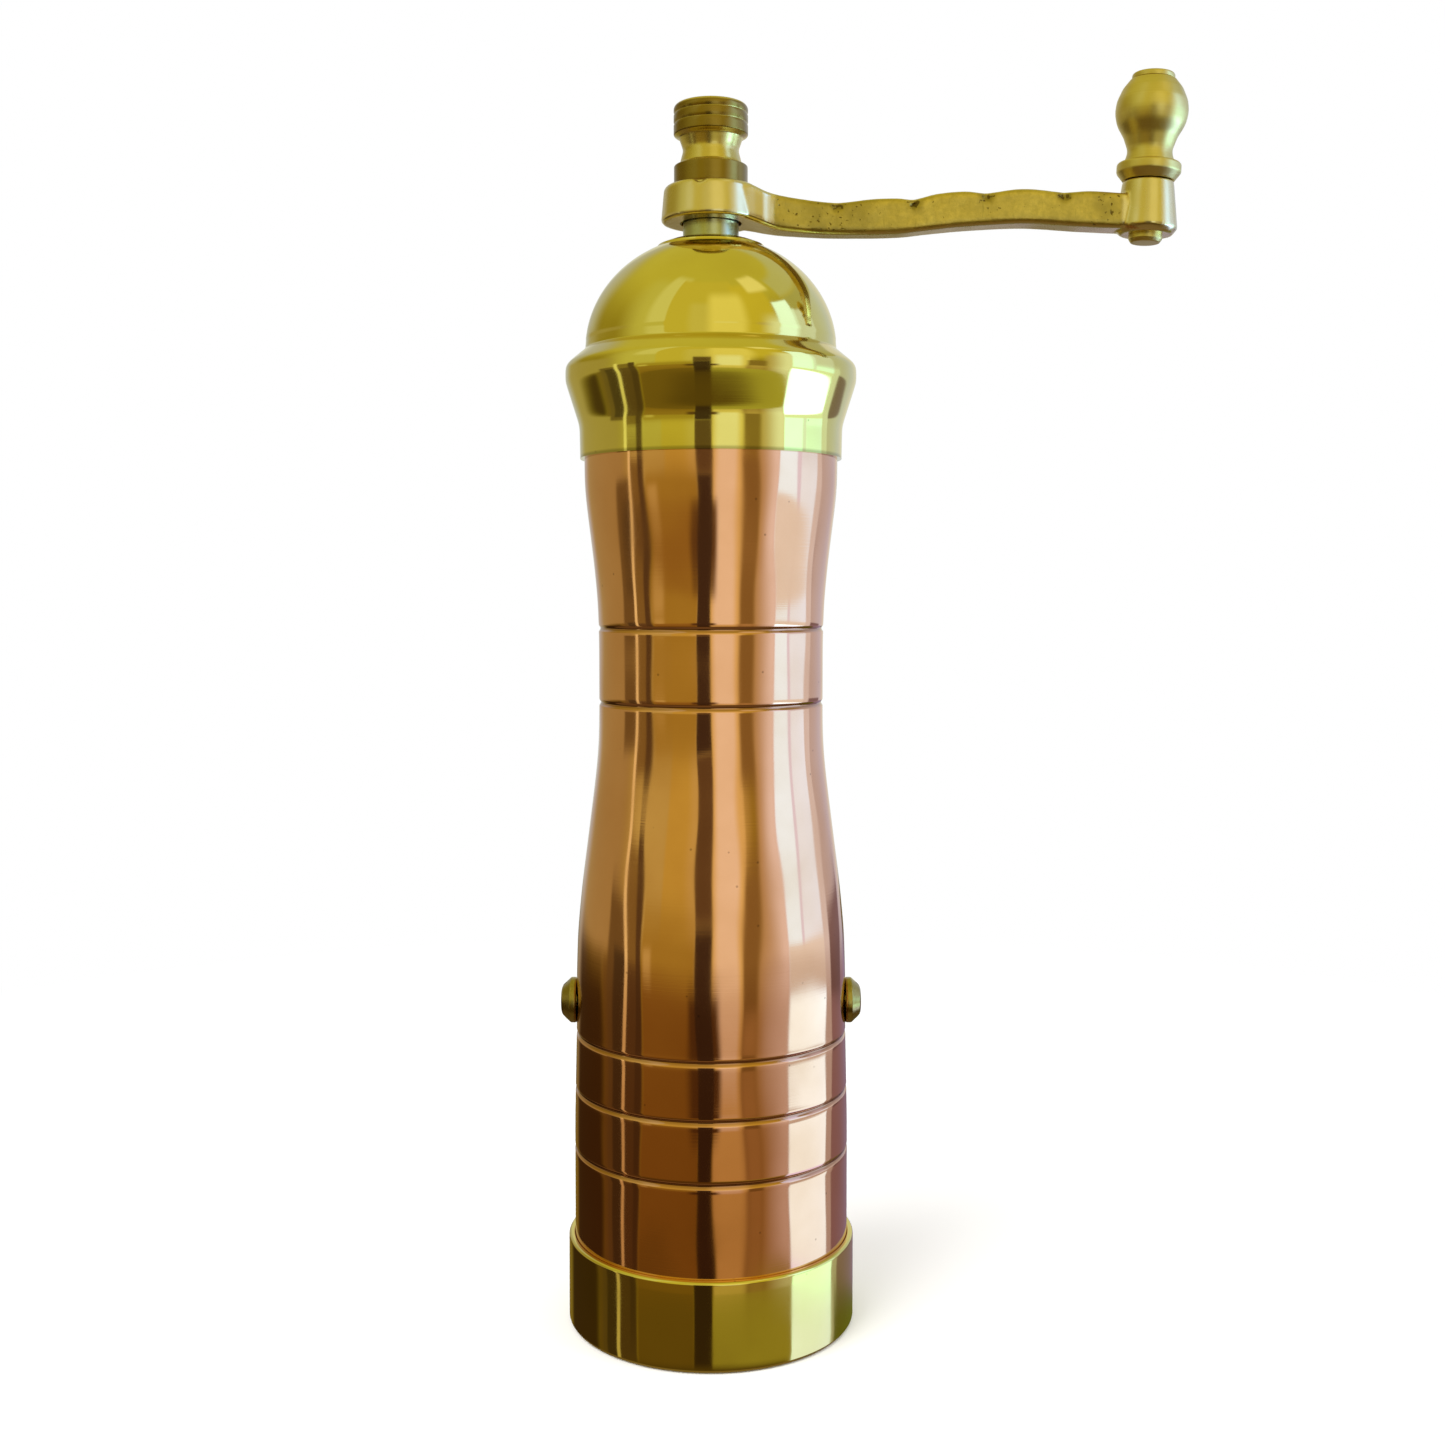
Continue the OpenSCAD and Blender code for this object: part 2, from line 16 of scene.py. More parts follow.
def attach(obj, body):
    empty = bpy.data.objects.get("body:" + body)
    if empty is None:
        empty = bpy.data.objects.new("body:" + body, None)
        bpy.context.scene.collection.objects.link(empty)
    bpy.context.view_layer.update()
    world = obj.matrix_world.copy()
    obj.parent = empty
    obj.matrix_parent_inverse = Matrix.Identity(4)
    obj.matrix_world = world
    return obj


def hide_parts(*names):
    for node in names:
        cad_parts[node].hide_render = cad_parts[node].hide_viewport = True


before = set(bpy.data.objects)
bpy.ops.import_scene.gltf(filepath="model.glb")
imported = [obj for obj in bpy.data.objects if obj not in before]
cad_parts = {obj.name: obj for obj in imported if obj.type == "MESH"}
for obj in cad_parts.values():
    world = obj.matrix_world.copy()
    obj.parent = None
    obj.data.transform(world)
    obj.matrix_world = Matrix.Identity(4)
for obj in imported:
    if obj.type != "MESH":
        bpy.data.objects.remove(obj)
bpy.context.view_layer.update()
MM = 0.001

# %% [markdown]
# ## The camera
# A picture taken from close by makes a tall object lean and its rings bow. The rings of
# the foot and the seam of the cap were used to find the lens, so the camera stands a
# little over half the mill's height, tilted down by about two degrees. The small shift
# centres the mill in the picture without tilting the camera any further.


# %% Camera
def in_scene(name, data):
    """A new object in the scene."""
    made = bpy.data.objects.new(name, data)
    bpy.context.scene.collection.objects.link(made)
    return made


FRAME_PX = 1445
FOCAL_PX = 1693.2
AXIS_ABOVE_CENTRE_PX = 61.1
camera_place = Vector((1.93, -284.4, 121.8)) * MM
camera_tilt = math.radians(2.25)

camera_data = bpy.data.cameras.new("camera")
camera_data.sensor_width = 36
camera_data.lens = camera_data.sensor_width * FOCAL_PX / FRAME_PX
camera_data.shift_y = -AXIS_ABOVE_CENTRE_PX / FRAME_PX
camera_data.clip_start = 0.01
camera = in_scene("camera", camera_data)
camera.location = camera_place
camera.rotation_euler = (math.pi / 2 - camera_tilt, 0, 0)
bpy.context.scene.camera = camera
print("lens", round(camera_data.lens, 1), "mm")

# %% [markdown]
# ## Short ways to write node trees
# Every finish below is a small tree of nodes. These helpers keep the trees readable: the
# first adds a node and feeds its inputs, and the last starts a group with named inputs.


# %% Node helpers
def add(tree, kind, feeds=None, **settings):
    """A new node, with each input fed by a socket or set to a value."""
    made = tree.nodes.new(kind)
    for key, value in settings.items():
        setattr(made, key, value)
    for key, value in (feeds or {}).items():
        if isinstance(value, bpy.types.NodeSocket):
            tree.links.new(value, made.inputs[key])
        else:
            made.inputs[key].default_value = value
    return made


def calc(tree, operation, a, b=0.0, c=0.0):
    """The result of one sum."""
    return add(tree, "ShaderNodeMath", {0: a, 1: b, 2: c}, operation=operation).outputs[0]


def times(tree, a, b):
    """One value times another."""
    return calc(tree, "MULTIPLY", a, b)


def ramp(tree, fac, stops):
    """A ramp through two stops of (place, grey)."""
    made = add(tree, "ShaderNodeValToRGB", {0: fac})
    for element, (place, grey) in zip(made.color_ramp.elements, stops):
        element.position = place
        element.color = (grey, grey, grey, 1)
    return made.outputs[0]


def graded(tree, value, low, high, at_low=0.0, at_high=1.0, kind="LINEAR"):
    """Goes from at_low to at_high while the value goes from low to high."""
    return add(tree, "ShaderNodeMapRange", {0: value, 1: low, 2: high, 3: at_low, 4: at_high},
               interpolation_type=kind).outputs[0]


def blend(tree, fac, a, b):
    """A mix of two colours, each a socket or a tuple of red, green and blue."""
    a, b = ((*tone, 1) if isinstance(tone, tuple) else tone for tone in (a, b))
    return add(tree, "ShaderNodeMix", {0: fac, 6: a, 7: b}, data_type="RGBA").outputs[2]


def length(tree, arrow):
    """How long a vector is."""
    return add(tree, "ShaderNodeVectorMath", {0: arrow}, operation="LENGTH").outputs["Value"]


def off_axis(tree, place):
    """How far a place is from the upright axis."""
    level = add(tree, "ShaderNodeVectorMath", {0: place, 1: (1, 1, 0)}, operation="MULTIPLY")
    return length(tree, level.outputs[0])


def cloudy(tree, place, scale, detail, rough):
    """Cloudy noise, with so many clouds to a metre."""
    return add(tree, "ShaderNodeTexNoise", {"Vector": place, "Scale": scale, "Detail": detail,
                                            "Roughness": rough}).outputs[0]


def use_group(tree, group, feeds, **settings):
    """A group placed in a tree."""
    return add(tree, "ShaderNodeGroup", feeds, node_tree=group, **settings).outputs


def start_group(name, inputs, outputs, kind="ShaderNodeTree"):
    """An empty group with (name, kind, value if any) inputs and (name, kind) outputs."""
    group = bpy.data.node_groups.new(name, kind)
    for title, sort, *value in inputs:
        socket = group.interface.new_socket(title, in_out="INPUT", socket_type="NodeSocket" + sort)
        if value:
            socket.default_value = value[0]
    for title, sort in outputs:
        group.interface.new_socket(title, in_out="OUTPUT", socket_type="NodeSocket" + sort)
    return group, add(group, "NodeGroupInput").outputs, add(group, "NodeGroupOutput").inputs


print("helpers ready")

# %% [markdown]
# ## What the polished metal sees
# A mirror has no colour of its own to show: polished copper looks like copper because of
# what it reflects. A room with a tall window on the right, pale walls and a few dark
# furnishings gives the long upright streaks that tell the eye the barrel is round. The
# room is a group that turns a direction into a colour, by laying one patch over another.

# %% The room round the mill
# Each part of the room is a soft-edged patch of wall, floor or glass, laid over those
# before it: name, edges in degrees, and colour. 0 degrees is the front, level with the
# mill, and the right is positive.
EDGES = ("Left", "Right", "Bottom", "Top", "Soft across", "Soft up")
ROOM = [
    ("walls higher up", -220, 220, 35, 140, 1, 42, (0.62, 0.6, 0.15)),
    ("pale wall behind on the left", -220, -135, -12, 42, 26, 16, (0.54, 0.56, 0.55)),
    ("left wall", -84, -30, -4, 60, 34, 12, (0.64, 0.65, 0.26)),
    ("wall beyond the cupboard", -150, -84, -9, 12, 20, 6, (0.45, 0.41, 0.2)),
    ("lit end of the left wall", -62, -30, 15, 68, 10, 8, (0.76, 0.8, 0.52)),
    ("front wall", -43, 30, -10, 66, 2, 6, (0.67, 0.62, 0.15)),
    ("front wall by the door", -20, 2, -16, 40, 10, 8, (0.7, 0.67, 0.28)),
    ("right half of the front wall", 24, 66, 8, 60, 9, 8, (0.71, 0.64, 0.12)),
    ("lit patch of wall", -1, 33, 6, 50, 12, 14, (0.94, 0.9, 0.44)),
    ("foot of the lit wall", 1.8, 30, -90, 9, 2.5, 6, (0.9, 0.86, 0.45)),
    ("brightest part of it", 4, 24, -15, 10, 6, 5, (1.02, 1.12, 1.2)),
    ("wall by the window, low", 43, 70, -90, 12, 8, 8, (0.6, 0.54, 0.36)),
    ("pale wall by the window", 54, 72, -90, 24, 20, 16, (0.98, 1.18, 1.75)),
    ("right wall", 110, 181, -14, 31, 3, 3, (0.64, 0.76, 1.1)),
    ("right wall behind", 152, 181, -9, 31, 22, 4, (0.78, 0.8, 0.74)),
    ("wall behind the mill", -181, -166, -9, 31, 10, 4, (0.74, 0.76, 0.68)),
    ("floor behind the mill", 160, 181, -90, -8.5, 6, 2, (0.2, 0.15, 0.035)),
    ("same floor, to the left", -181, -168, -90, -8.5, 6, 2, (0.2, 0.15, 0.035)),
    ("right wall, shaded", 88, 168, 31, 41, 4, 3, (0.5, 0.53, 0.35)),
    ("right wall, above the shade", 84, 168, 42, 58, 6, 6, (0.6, 0.65, 0.55)),
    ("glow on the ceiling", 46, 76, 51, 67, 7, 5, (1.0, 1.0, 0.75)),
    ("left pane", 66.5, 87.5, -90, 39, 1.6, 1.5, (1.12, 1.7, 3.9)),
    ("left pane at eye level", 66.5, 87.5, -90, 9, 1.6, 5, (1.12, 2.1, 4.1)),
    ("mullion", 86.5, 91.5, -90, 31, 1.4, 2, (0.95, 1.35, 2.8)),
    ("right pane, upper", 90, 112, 4, 30, 2, 3, (0.8, 1.02, 1.9)),
    ("right pane, lower", 90.5, 112.5, -90, 5, 1.4, 6, (1.07, 1.85, 3.6)),
    ("panes by the sill", 66.5, 112.5, -12.4, -5.5, 1.6, 2, (0.98, 1.35, 2.0)),
    ("curtain", 112, 121, -90, 6, 1.5, 5, (0.84, 1.1, 1.7)),
    ("panes seen low down", 67, 112, -90, -12.4, 1.6, 2, (2.0, 4.2, 8.6)),
    ("panes seen from the foot", 67, 112, -90, -22.6, 1.6, 1, (1.8, 2.9, 8.2)),
    ("right wall, low", 121, 170, -90, -11, 2, 2.5, (0.45, 0.41, 0.68)),
    ("right wall by the floor", 117, 181, -90, -22.6, 3, 1, (0.24, 0.32, 0.06)),
    ("chest by the right wall", 121, 144, -13, -5, 3, 2, (0.25, 0.22, 0.32)),
    ("dark floor on the left", -150, -100, -90, -9.5, 12, 7, (0.08, 0.055, 0.02)),
    ("bench on the left", -100, -86, -90, -9, 3, 3, (0.22, 0.17, 0.05)),
    ("cupboard on the left", -96, -80, -90, -1, 3, 4, (0.19, 0.15, 0.06)),
    ("foot of the cupboard", -91, -80, -90, -7, 2, 3, (0.1, 0.08, 0.04)),
    ("shelves", -78, -60.5, -90, 3.5, 2, 2, (0.26, 0.21, 0.07)),
    ("foot of the shelves", -78, -60.5, -90, -9, 2, 3, (0.15, 0.11, 0.05)),
    ("post", -66.5, -61, -24, 5, 1.5, 1.5, (0.11, 0.08, 0.04)),
    ("front wall, low on the left", -59, -14, -90, 1, 2, 10, (0.44, 0.37, 0.07)),
    ("sideboard", -59, -14, -90, -9.5, 2, 4, (0.34, 0.24, 0.05)),
    ("shadow under the sideboard", -59, -14, -90, -22.6, 2, 1, (0.24, 0.18, 0.04)),
    ("lamp on the sideboard", -58, -50, -10, -4, 4, 3, (0.62, 0.58, 0.24)),
    ("strip of light", -80.2, -76.8, -30, 5, 0.8, 1.5, (1.0, 1.05, 0.7)),
    ("dresser", 28.5, 43, -90, 4.5, 5, 2, (0.29, 0.22, 0.08)),
    ("foot of the dresser", 28, 45, -90, -12.5, 12, 3, (0.54, 0.44, 0.22)),
    ("floor by the dresser", 0.8, 66, -90, -22.6, 3, 1, (0.56, 0.6, 0.16)),
    ("chair in the doorway", -20, 6, -17, -9.5, 6, 3, (0.13, 0.08, 0.03)),
    ("doorway", -13.5, 0.8, -90, 0.5, 1.2, 1.5, (0.065, 0.045, 0.03)),
    ("above the doorway", -13.5, 0.8, 0.5, 8.5, 1.2, 2, (0.14, 0.1, 0.05)),
    ("floor close by", -70, 64, -140, -27, 8, 3, (0.16, 0.12, 0.03)),
    ("floor beside the mill", 60, 300, -140, -31, 8, 4, (0.3, 0.26, 0.14)),
    ("floor on the other side", -300, -66, -140, -31, 8, 4, (0.3, 0.26, 0.14)),
    ("floor right under the mill", -300, 300, -140, -54, 8, 8, (0.38, 0.34, 0.2)),
]
ROOM_WALLS = (0.36, 0.31, 0.05)

patch, patch_in, patch_out = start_group(
    "Patch of the room",
    [("Under", "Color"), ("Across", "Float"), ("Up", "Float"), ("Patch", "Color")]
    + [(edge, "Float") for edge in EDGES],
    [("Room", "Color")],
)


def past(value, edge, soft):
    """0 well before an edge and 1 well past it, with the edge half way."""
    low, high = (calc(patch, "MULTIPLY_ADD", soft, side, edge) for side in (-0.5, 0.5))
    return graded(patch, value, low, high, kind="SMOOTHSTEP")


inside = 1.0
for value, low_edge, high_edge, soft in (("Across", "Left", "Right", "Soft across"),
                                         ("Up", "Bottom", "Top", "Soft up")):
    enters = past(patch_in[value], patch_in[low_edge], patch_in[soft])
    leaves = past(patch_in[value], patch_in[high_edge], patch_in[soft])
    inside = times(patch, inside, calc(patch, "SUBTRACT", enters, leaves))
laid = blend(patch, inside, patch_in["Under"], patch_in["Patch"])
patch.links.new(laid, patch_out["Room"])

room, room_in, room_out = start_group(
    "Room round the mill", [("Direction", "Vector")], [("Light", "Color")])
aim = add(room, "ShaderNodeSeparateXYZ", {0: room_in["Direction"]}).outputs
across = calc(room, "DEGREES", calc(room, "ARCTAN2", aim["X"], times(room, aim["Y"], -1.0)))
upward = calc(room, "DEGREES", calc(room, "ARCSINE", aim["Z"]))
seen = (*ROOM_WALLS, 1)
for title, *edges, colour in ROOM:
    feeds = {"Under": seen, "Across": across, "Up": upward, "Patch": (*colour, 1)}
    seen = use_group(room, patch, feeds | dict(zip(EDGES, edges)), label=title)["Room"]
room.links.new(seen, room_out["Light"])
print("parts of the room:", len(ROOM))

# %% [markdown]
# ## The world, the floor and the table
# The camera sees a plain white surround and a pale floor that keeps a soft shadow. Mirror
# rays see the room. The ones that leave the foot and the lower barrel pass through a card
# of smoked glass on the ground, which darkens the room as a polished table would. Seen
# from the cap, that table is too small to matter.

# %% World
world = bpy.data.worlds.new("world")
bpy.context.scene.world = world
world.use_nodes = True
sky = world.node_tree
sky.nodes.clear()
direction = add(sky, "ShaderNodeTexCoord").outputs["Generated"]
room_seen = use_group(sky, room, {"Direction": direction})["Light"]
rays = add(sky, "ShaderNodeLightPath").outputs
white_or_room = blend(sky, rays["Is Camera Ray"], room_seen, (1, 1, 1))
seen_world = add(sky, "ShaderNodeBackground", {"Color": white_or_room, "Strength": 1.0})
soft_light = add(sky, "ShaderNodeBackground", {"Color": (1, 0.99, 0.97, 1), "Strength": 0.85})
seen_by = calc(sky, "ADD", rays["Is Camera Ray"], rays["Is Glossy Ray"])
seen_by = calc(sky, "ADD", seen_by, rays["Is Transmission Ray"])
whole = add(sky, "ShaderNodeMixShader",
            {0: seen_by, 1: soft_light.outputs[0], 2: seen_world.outputs[0]})
add(sky, "ShaderNodeOutputWorld", {0: whole.outputs[0]})
print("world:", len(sky.nodes), "nodes")


# %% Floor and smoked card
def as_mesh(name, built):
    """The mesh of something built with bmesh."""
    mesh = bpy.data.meshes.new(name)
    built.to_mesh(mesh)
    built.free()
    return mesh


def round_card(name, radius, height, material):
    """A round card, flat on the ground."""
    made = bmesh.new()
    bmesh.ops.create_circle(made, cap_ends=True, segments=96, radius=radius)
    for point in made.verts:
        point.co.z = height
    mesh = as_mesh(name, made)
    mesh.materials.append(material)
    card = in_scene(name, mesh)
    return card


def new_material(name):
    """A material, its empty tree, and the place on the piece."""
    material = bpy.data.materials.new(name)
    material.use_nodes = True
    tree = material.node_tree
    tree.nodes.clear()
    return material, tree, add(tree, "ShaderNodeTexCoord").outputs["Object"]


# distances from the foot of the mill, in metres
FADE_FROM, FADE_TO = 0.10, 0.32
floor_paint, tree, place = new_material("pale_floor")
fade = graded(tree, length(tree, place), FADE_FROM, FADE_TO)
matt = add(tree, "ShaderNodeBsdfDiffuse", {"Color": (0.93, 0.93, 0.92, 1)})
glow = add(tree, "ShaderNodeEmission", {"Color": (1, 1, 1, 1), "Strength": 1.0})
faded = add(tree, "ShaderNodeMixShader", {0: fade, 1: matt.outputs[0], 2: glow.outputs[0]})
add(tree, "ShaderNodeOutputMaterial", {0: faded.outputs[0]})
floor = round_card("floor", radius=6.0, height=-0.0002, material=floor_paint)
floor.visible_glossy = False

SMOKE, SMOKE_FROM, SMOKE_TO = (0.60, 0.48, 0.40), 0.10, 0.60
smoked_glass, tree, place = new_material("smoked_glass")
clear = graded(tree, length(tree, place), SMOKE_FROM, SMOKE_TO, kind="SMOOTHSTEP")
tint = blend(tree, clear, SMOKE, (1, 1, 1))
smoke = add(tree, "ShaderNodeBsdfTransparent", {"Color": tint})
add(tree, "ShaderNodeOutputMaterial", {0: smoke.outputs[0]})
table = round_card("table", radius=0.61, height=-0.0004, material=smoked_glass)
for kind_of_ray in ("camera", "diffuse", "transmission", "shadow", "volume_scatter"):
    setattr(table, "visible_" + kind_of_ray, False)
print("cards:", floor.name, table.name)

# %% [markdown]
# ## Soft lamps
# One broad lamp above and to the left and a fainter one on the right light the floor and
# the inside of the mill, and draw the soft shadow at the foot. Mirrors don't see them, or
# they would add square spots that the room doesn't have.


# %% Lamps
MILL_MIDDLE = Vector((0, 0, 0.09))


def soft_lamp(name, place, width, power):
    """A square lamp that faces the middle of the mill."""
    data = bpy.data.lights.new(name, "AREA")
    data.size = width
    data.energy = power
    lamp = in_scene(name, data)
    lamp.location = place
    lamp.rotation_euler = (MILL_MIDDLE - Vector(place)).to_track_quat("-Z", "Y").to_euler()
    lamp.visible_glossy = False


soft_lamp("lamp_left", (-0.5, -0.5, 0.9), width=0.7, power=9)
soft_lamp("lamp_right", (0.8, -0.2, 0.6), width=0.6, power=3)
bpy.context.scene.view_settings.view_transform = "Standard"

# %% [markdown]
# ## Effects that several finishes share
# Turning leaves fine rings, and buffing and handling leave smears, scratches, flecks and
# faint waves. Two groups read the place on the piece, and each finish below uses them at
# its own strength.


# %% Turning rings and buffing smears
rings, rings_in, rings_out = start_group(
    "Turning rings", [("Place", "Vector"), ("Rings per mm", "Float", 4.0)], [("Mask", "Float")])
where = add(rings, "ShaderNodeSeparateXYZ", {0: rings_in["Place"]}).outputs
across = off_axis(rings, rings_in["Place"])
section = add(rings, "ShaderNodeCombineXYZ", {0: across, 2: where["Z"]}).outputs[0]
per_metre = times(rings, rings_in["Rings per mm"], 1000.0)
rings.links.new(cloudy(rings, section, per_metre, 2.0, 0.6), rings_out["Mask"])

buffed, buffed_in, buffed_out = start_group(
    "Buffing smears", [("Place", "Vector"), ("Smear size mm", "Float", 9.0)],
    [(mask, "Float") for mask in ("Smear", "Scratch", "Fleck", "Wave")])
per_metre = calc(buffed, "DIVIDE", 1000.0, buffed_in["Smear size mm"])
smear = cloudy(buffed, buffed_in["Place"], per_metre, 3.0, 0.55)
slanted = add(buffed, "ShaderNodeMapping",
              {"Vector": buffed_in["Place"], "Rotation": (0.3, 0.5, 0.2), "Scale": (1, 1, 0.08)})
scratch = cloudy(buffed, slanted.outputs[0], 2600.0, 2.0, 0.7)
fleck = add(buffed, "ShaderNodeTexVoronoi", {"Vector": buffed_in["Place"], "Scale": 210.0})
drawn_out = add(buffed, "ShaderNodeMapping", {"Vector": buffed_in["Place"], "Scale": (1, 1, 0.45)})
for title, mask in (
    ("Wave", cloudy(buffed, drawn_out.outputs[0], 75.0, 1.0, 0.4)),
    ("Smear", ramp(buffed, smear, [(0.35, 0.0), (0.7, 1.0)])),
    ("Scratch", ramp(buffed, scratch, [(0.62, 0.0), (0.75, 1.0)])),
    ("Fleck", ramp(buffed, fleck.outputs["Distance"], [(0.03, 1.0), (0.05, 0.0)])),
):
    buffed.links.new(mask, buffed_out[title])
print("groups:", [g.name for g in bpy.data.node_groups])


# %% [markdown]
# ## Polished copper and brass
# The barrel, the foot ring and the cap have a mirror polish. The tint of the metal is the
# whole colour, so it is set a little deeper where smears of tarnish lie, and the roughness
# follows the same smears. A narrow band of painted shade darkens each groove and the
# lower edge of the cap. Fine rings left by the buffing wheel spread each reflection up
# and down the barrel, which is what makes the streaks so long.


# %% Polished metal
def bump(tree, height, strength, distance_mm, under=None):
    feeds = {"Height": height, "Strength": strength, "Distance": distance_mm * MM}
    if under is not None:
        feeds["Normal"] = under
    return add(tree, "ShaderNodeBump", feeds).outputs[0]


def metal_out(tree, colour, roughness, normal, metallic=1.0):
    """The metal's shader, joined to the output of its material."""
    shader = add(tree, "ShaderNodeBsdfPrincipled", {"Base Color": colour, "Metallic": metallic,
                                                    "Roughness": roughness, "Normal": normal})
    add(tree, "ShaderNodeOutputMaterial", {0: shader.outputs[0]})


def darker(colour, share):
    """A colour at a share of its brightness."""
    return tuple(c * share for c in colour)


def polished(name, clean, tarnish, rough, ring_strength, wave, shade_bands=()):
    """A mirror-polished metal, with a narrow band of painted shade at each height in mm of the last
    argument.
    """
    material, tree, place = new_material(name)
    marks = use_group(tree, buffed, {"Place": place, "Smear size mm": 14.0})
    ringed = use_group(tree, rings, {"Place": place, "Rings per mm": 5.0})
    colour = blend(tree, times(tree, marks["Smear"], 0.55), clean, tarnish)
    height = add(tree, "ShaderNodeSeparateXYZ", {0: place}).outputs["Z"]
    # Painted shade: a narrow dark band in the colour at each groove and at the cap's lower edge.
    for band in shade_bands:
        off = calc(tree, "ABSOLUTE", calc(tree, "SUBTRACT", height, band * MM))
        band_shade = graded(tree, off, 0.2 * MM, 0.6 * MM, 0.6, 0.0)
        colour = blend(tree, band_shade, colour, darker(tarnish, 0.35))
    colour = blend(tree, times(tree, marks["Fleck"], 0.5), colour, darker(tarnish, 0.3))
    roughness = graded(tree, marks["Smear"], 0.0, 1.0, rough, rough + 0.07)
    normal = bump(tree, marks["Wave"], wave, 0.7)
    normal = bump(tree, ringed["Mask"], ring_strength, 0.02, normal)
    metal_out(tree, colour, roughness, bump(tree, marks["Scratch"], 0.04, 0.01, normal))
    return material


WAIST_GROOVES = (103.9, 116.25)
FOOT_GROOVES = (29.2, 39.2, 48.5)
# The copper gets painted shade in its grooves, and the brass gets it at the lower edge of the cap.
copper = polished("polished_copper", (0.79, 0.40, 0.19), (0.68, 0.32, 0.13), 0.05, 0.10, 1.0,
                  WAIST_GROOVES + FOOT_GROOVES)
brass = polished("polished_brass", (0.76, 0.62, 0.15), (0.66, 0.52, 0.11), 0.04, 0.04, 0.15,
                 (144.45,))
print("polished:", copper.name, brass.name)

# %% [markdown]
# ## Turned brass, cast brass and steel
# The knob and the grip were left as they came off the lathe: satin, with rings that catch
# the light. The crank is a casting. Its hub and socket were filed and polished, but the
# faces of the arm keep the grain and pits of the sand mould, so the finish reads two
# values stored on the mesh: how much of that skin is left at each point, and its grime.


# %% Turned and steel finishes
def turned_metal(name, clean, shaded, rough, ring_strength, rings_per_mm, centre=(0, 0, 0),
                 lean=0.0, brown_beyond=None, brown=None):
    """Satin metal with rings round the axis that goes through centre and leans by lean.

    Further from that axis than brown_beyond, in mm, the metal has gone brown.
    """
    material, tree, place = new_material(name)
    on_axis = add(tree, "ShaderNodeMapping", {"Vector": place, "Location": centre,
                                              "Rotation": (0, lean, 0)},
                  vector_type="TEXTURE").outputs[0]
    ringed = use_group(tree, rings, {"Place": on_axis, "Rings per mm": rings_per_mm})
    marks = use_group(tree, buffed, {"Place": place, "Smear size mm": 5.0})
    colour = blend(tree, ringed["Mask"], shaded, clean)
    colour = blend(tree, times(tree, marks["Smear"], 0.35), colour, shaded)
    if brown_beyond is not None:
        stained = graded(tree, off_axis(tree, on_axis), (brown_beyond - 0.08) * MM,
                         brown_beyond * MM, 0.0, 0.85)
        colour = blend(tree, stained, colour, brown)
    roughness = graded(tree, marks["Smear"], 0.0, 1.0, rough, rough + 0.1)
    normal = bump(tree, ringed["Mask"], ring_strength, 0.03)
    metal_out(tree, colour, roughness, bump(tree, marks["Scratch"], 0.04, 0.02, normal))
    return material


GRIP_FOOT = Vector((72.65, 0, 189.5)) * MM
GRIP_LEAN = math.radians(2.5)
knob_brass = turned_metal("knob_brass", (0.73, 0.57, 0.18), (0.60, 0.46, 0.11), 0.22, 0.06, 4.0,
                          brown_beyond=6.1, brown=(0.20, 0.115, 0.011))
grip_brass = turned_metal("grip_brass", (0.74, 0.60, 0.19), (0.64, 0.49, 0.13), 0.33, 0.07, 4.0,
                          GRIP_FOOT, GRIP_LEAN)
collar_steel = turned_metal("collar_steel", (0.56, 0.55, 0.30), (0.40, 0.39, 0.20), 0.24, 0.06, 4.0)
screw_brass = turned_metal("screw_brass", (0.50, 0.38, 0.10), (0.26, 0.19, 0.04), 0.20, 0.06, 3.0)
inner_brass = turned_metal("inner_brass", (0.60, 0.46, 0.16), (0.44, 0.32, 0.09), 0.3, 0.3, 4.0)
shaft_steel = turned_metal("shaft_steel", (0.55, 0.55, 0.53), (0.36, 0.36, 0.35), 0.25, 0.25, 4.0)
burr_steel = turned_metal("burr_steel", (0.30, 0.30, 0.31), (0.16, 0.16, 0.17), 0.38, 0.2, 3.0)


# %% Cast finishes
def cast_metal(name, clean, shaded, pit_colour, smooth_rough, cast_rough, metal):
    """A casting: "cast" on the mesh is the mould's own skin, and "grime" the dirt in it."""
    material, tree, place = new_material(name)
    skin = add(tree, "ShaderNodeAttribute", attribute_name="cast").outputs["Fac"]
    grime = add(tree, "ShaderNodeAttribute", attribute_name="grime").outputs["Fac"]
    marks = use_group(tree, buffed, {"Place": place, "Smear size mm": 7.0})
    grain = cloudy(tree, place, 900.0, 6.0, 0.7)
    cells = cloudy(tree, place, 1600.0, 2.0, 0.5)
    patches = cloudy(tree, place, 190.0, 3.0, 0.6)
    pit_edge = calc(tree, "MULTIPLY_ADD", grime, -0.18, 0.75)
    pits = graded(tree, cells, pit_edge, calc(tree, "ADD", pit_edge, 0.05))
    pits = times(tree, pits, skin)
    stain = times(tree, ramp(tree, patches, [(0.38, 0.15), (0.62, 1.0)]), skin)
    worn = times(tree, ramp(tree, grain, [(0.36, 1.0), (0.62, 0.0)]), skin)
    filed = times(tree, marks["Scratch"], skin)
    dull = calc(tree, "MAXIMUM", skin, times(tree, marks["Smear"], 0.3))
    colour = blend(tree, dull, clean, shaded)
    for mask, strength, tone in (
        (stain, calc(tree, "MULTIPLY_ADD", grime, 1.25, -0.10), darker(shaded, 0.42)),
        (filed, 0.5, darker(shaded, 0.45)), (worn, 0.55, darker(shaded, 0.6)),
        (pits, 0.85, pit_colour),
    ):
        colour = blend(tree, times(tree, mask, strength), colour, tone)
    base = graded(tree, skin, 0.0, 1.0, smooth_rough, cast_rough)
    roughness = calc(tree, "MULTIPLY_ADD", marks["Smear"], 0.08, base)
    sand = times(tree, calc(tree, "SUBTRACT", grain, pits), skin)
    normal = bump(tree, marks["Scratch"], 0.05, 0.02, bump(tree, sand, 0.40, 0.10))
    metal_out(tree, colour, roughness, normal, metal)
    return material


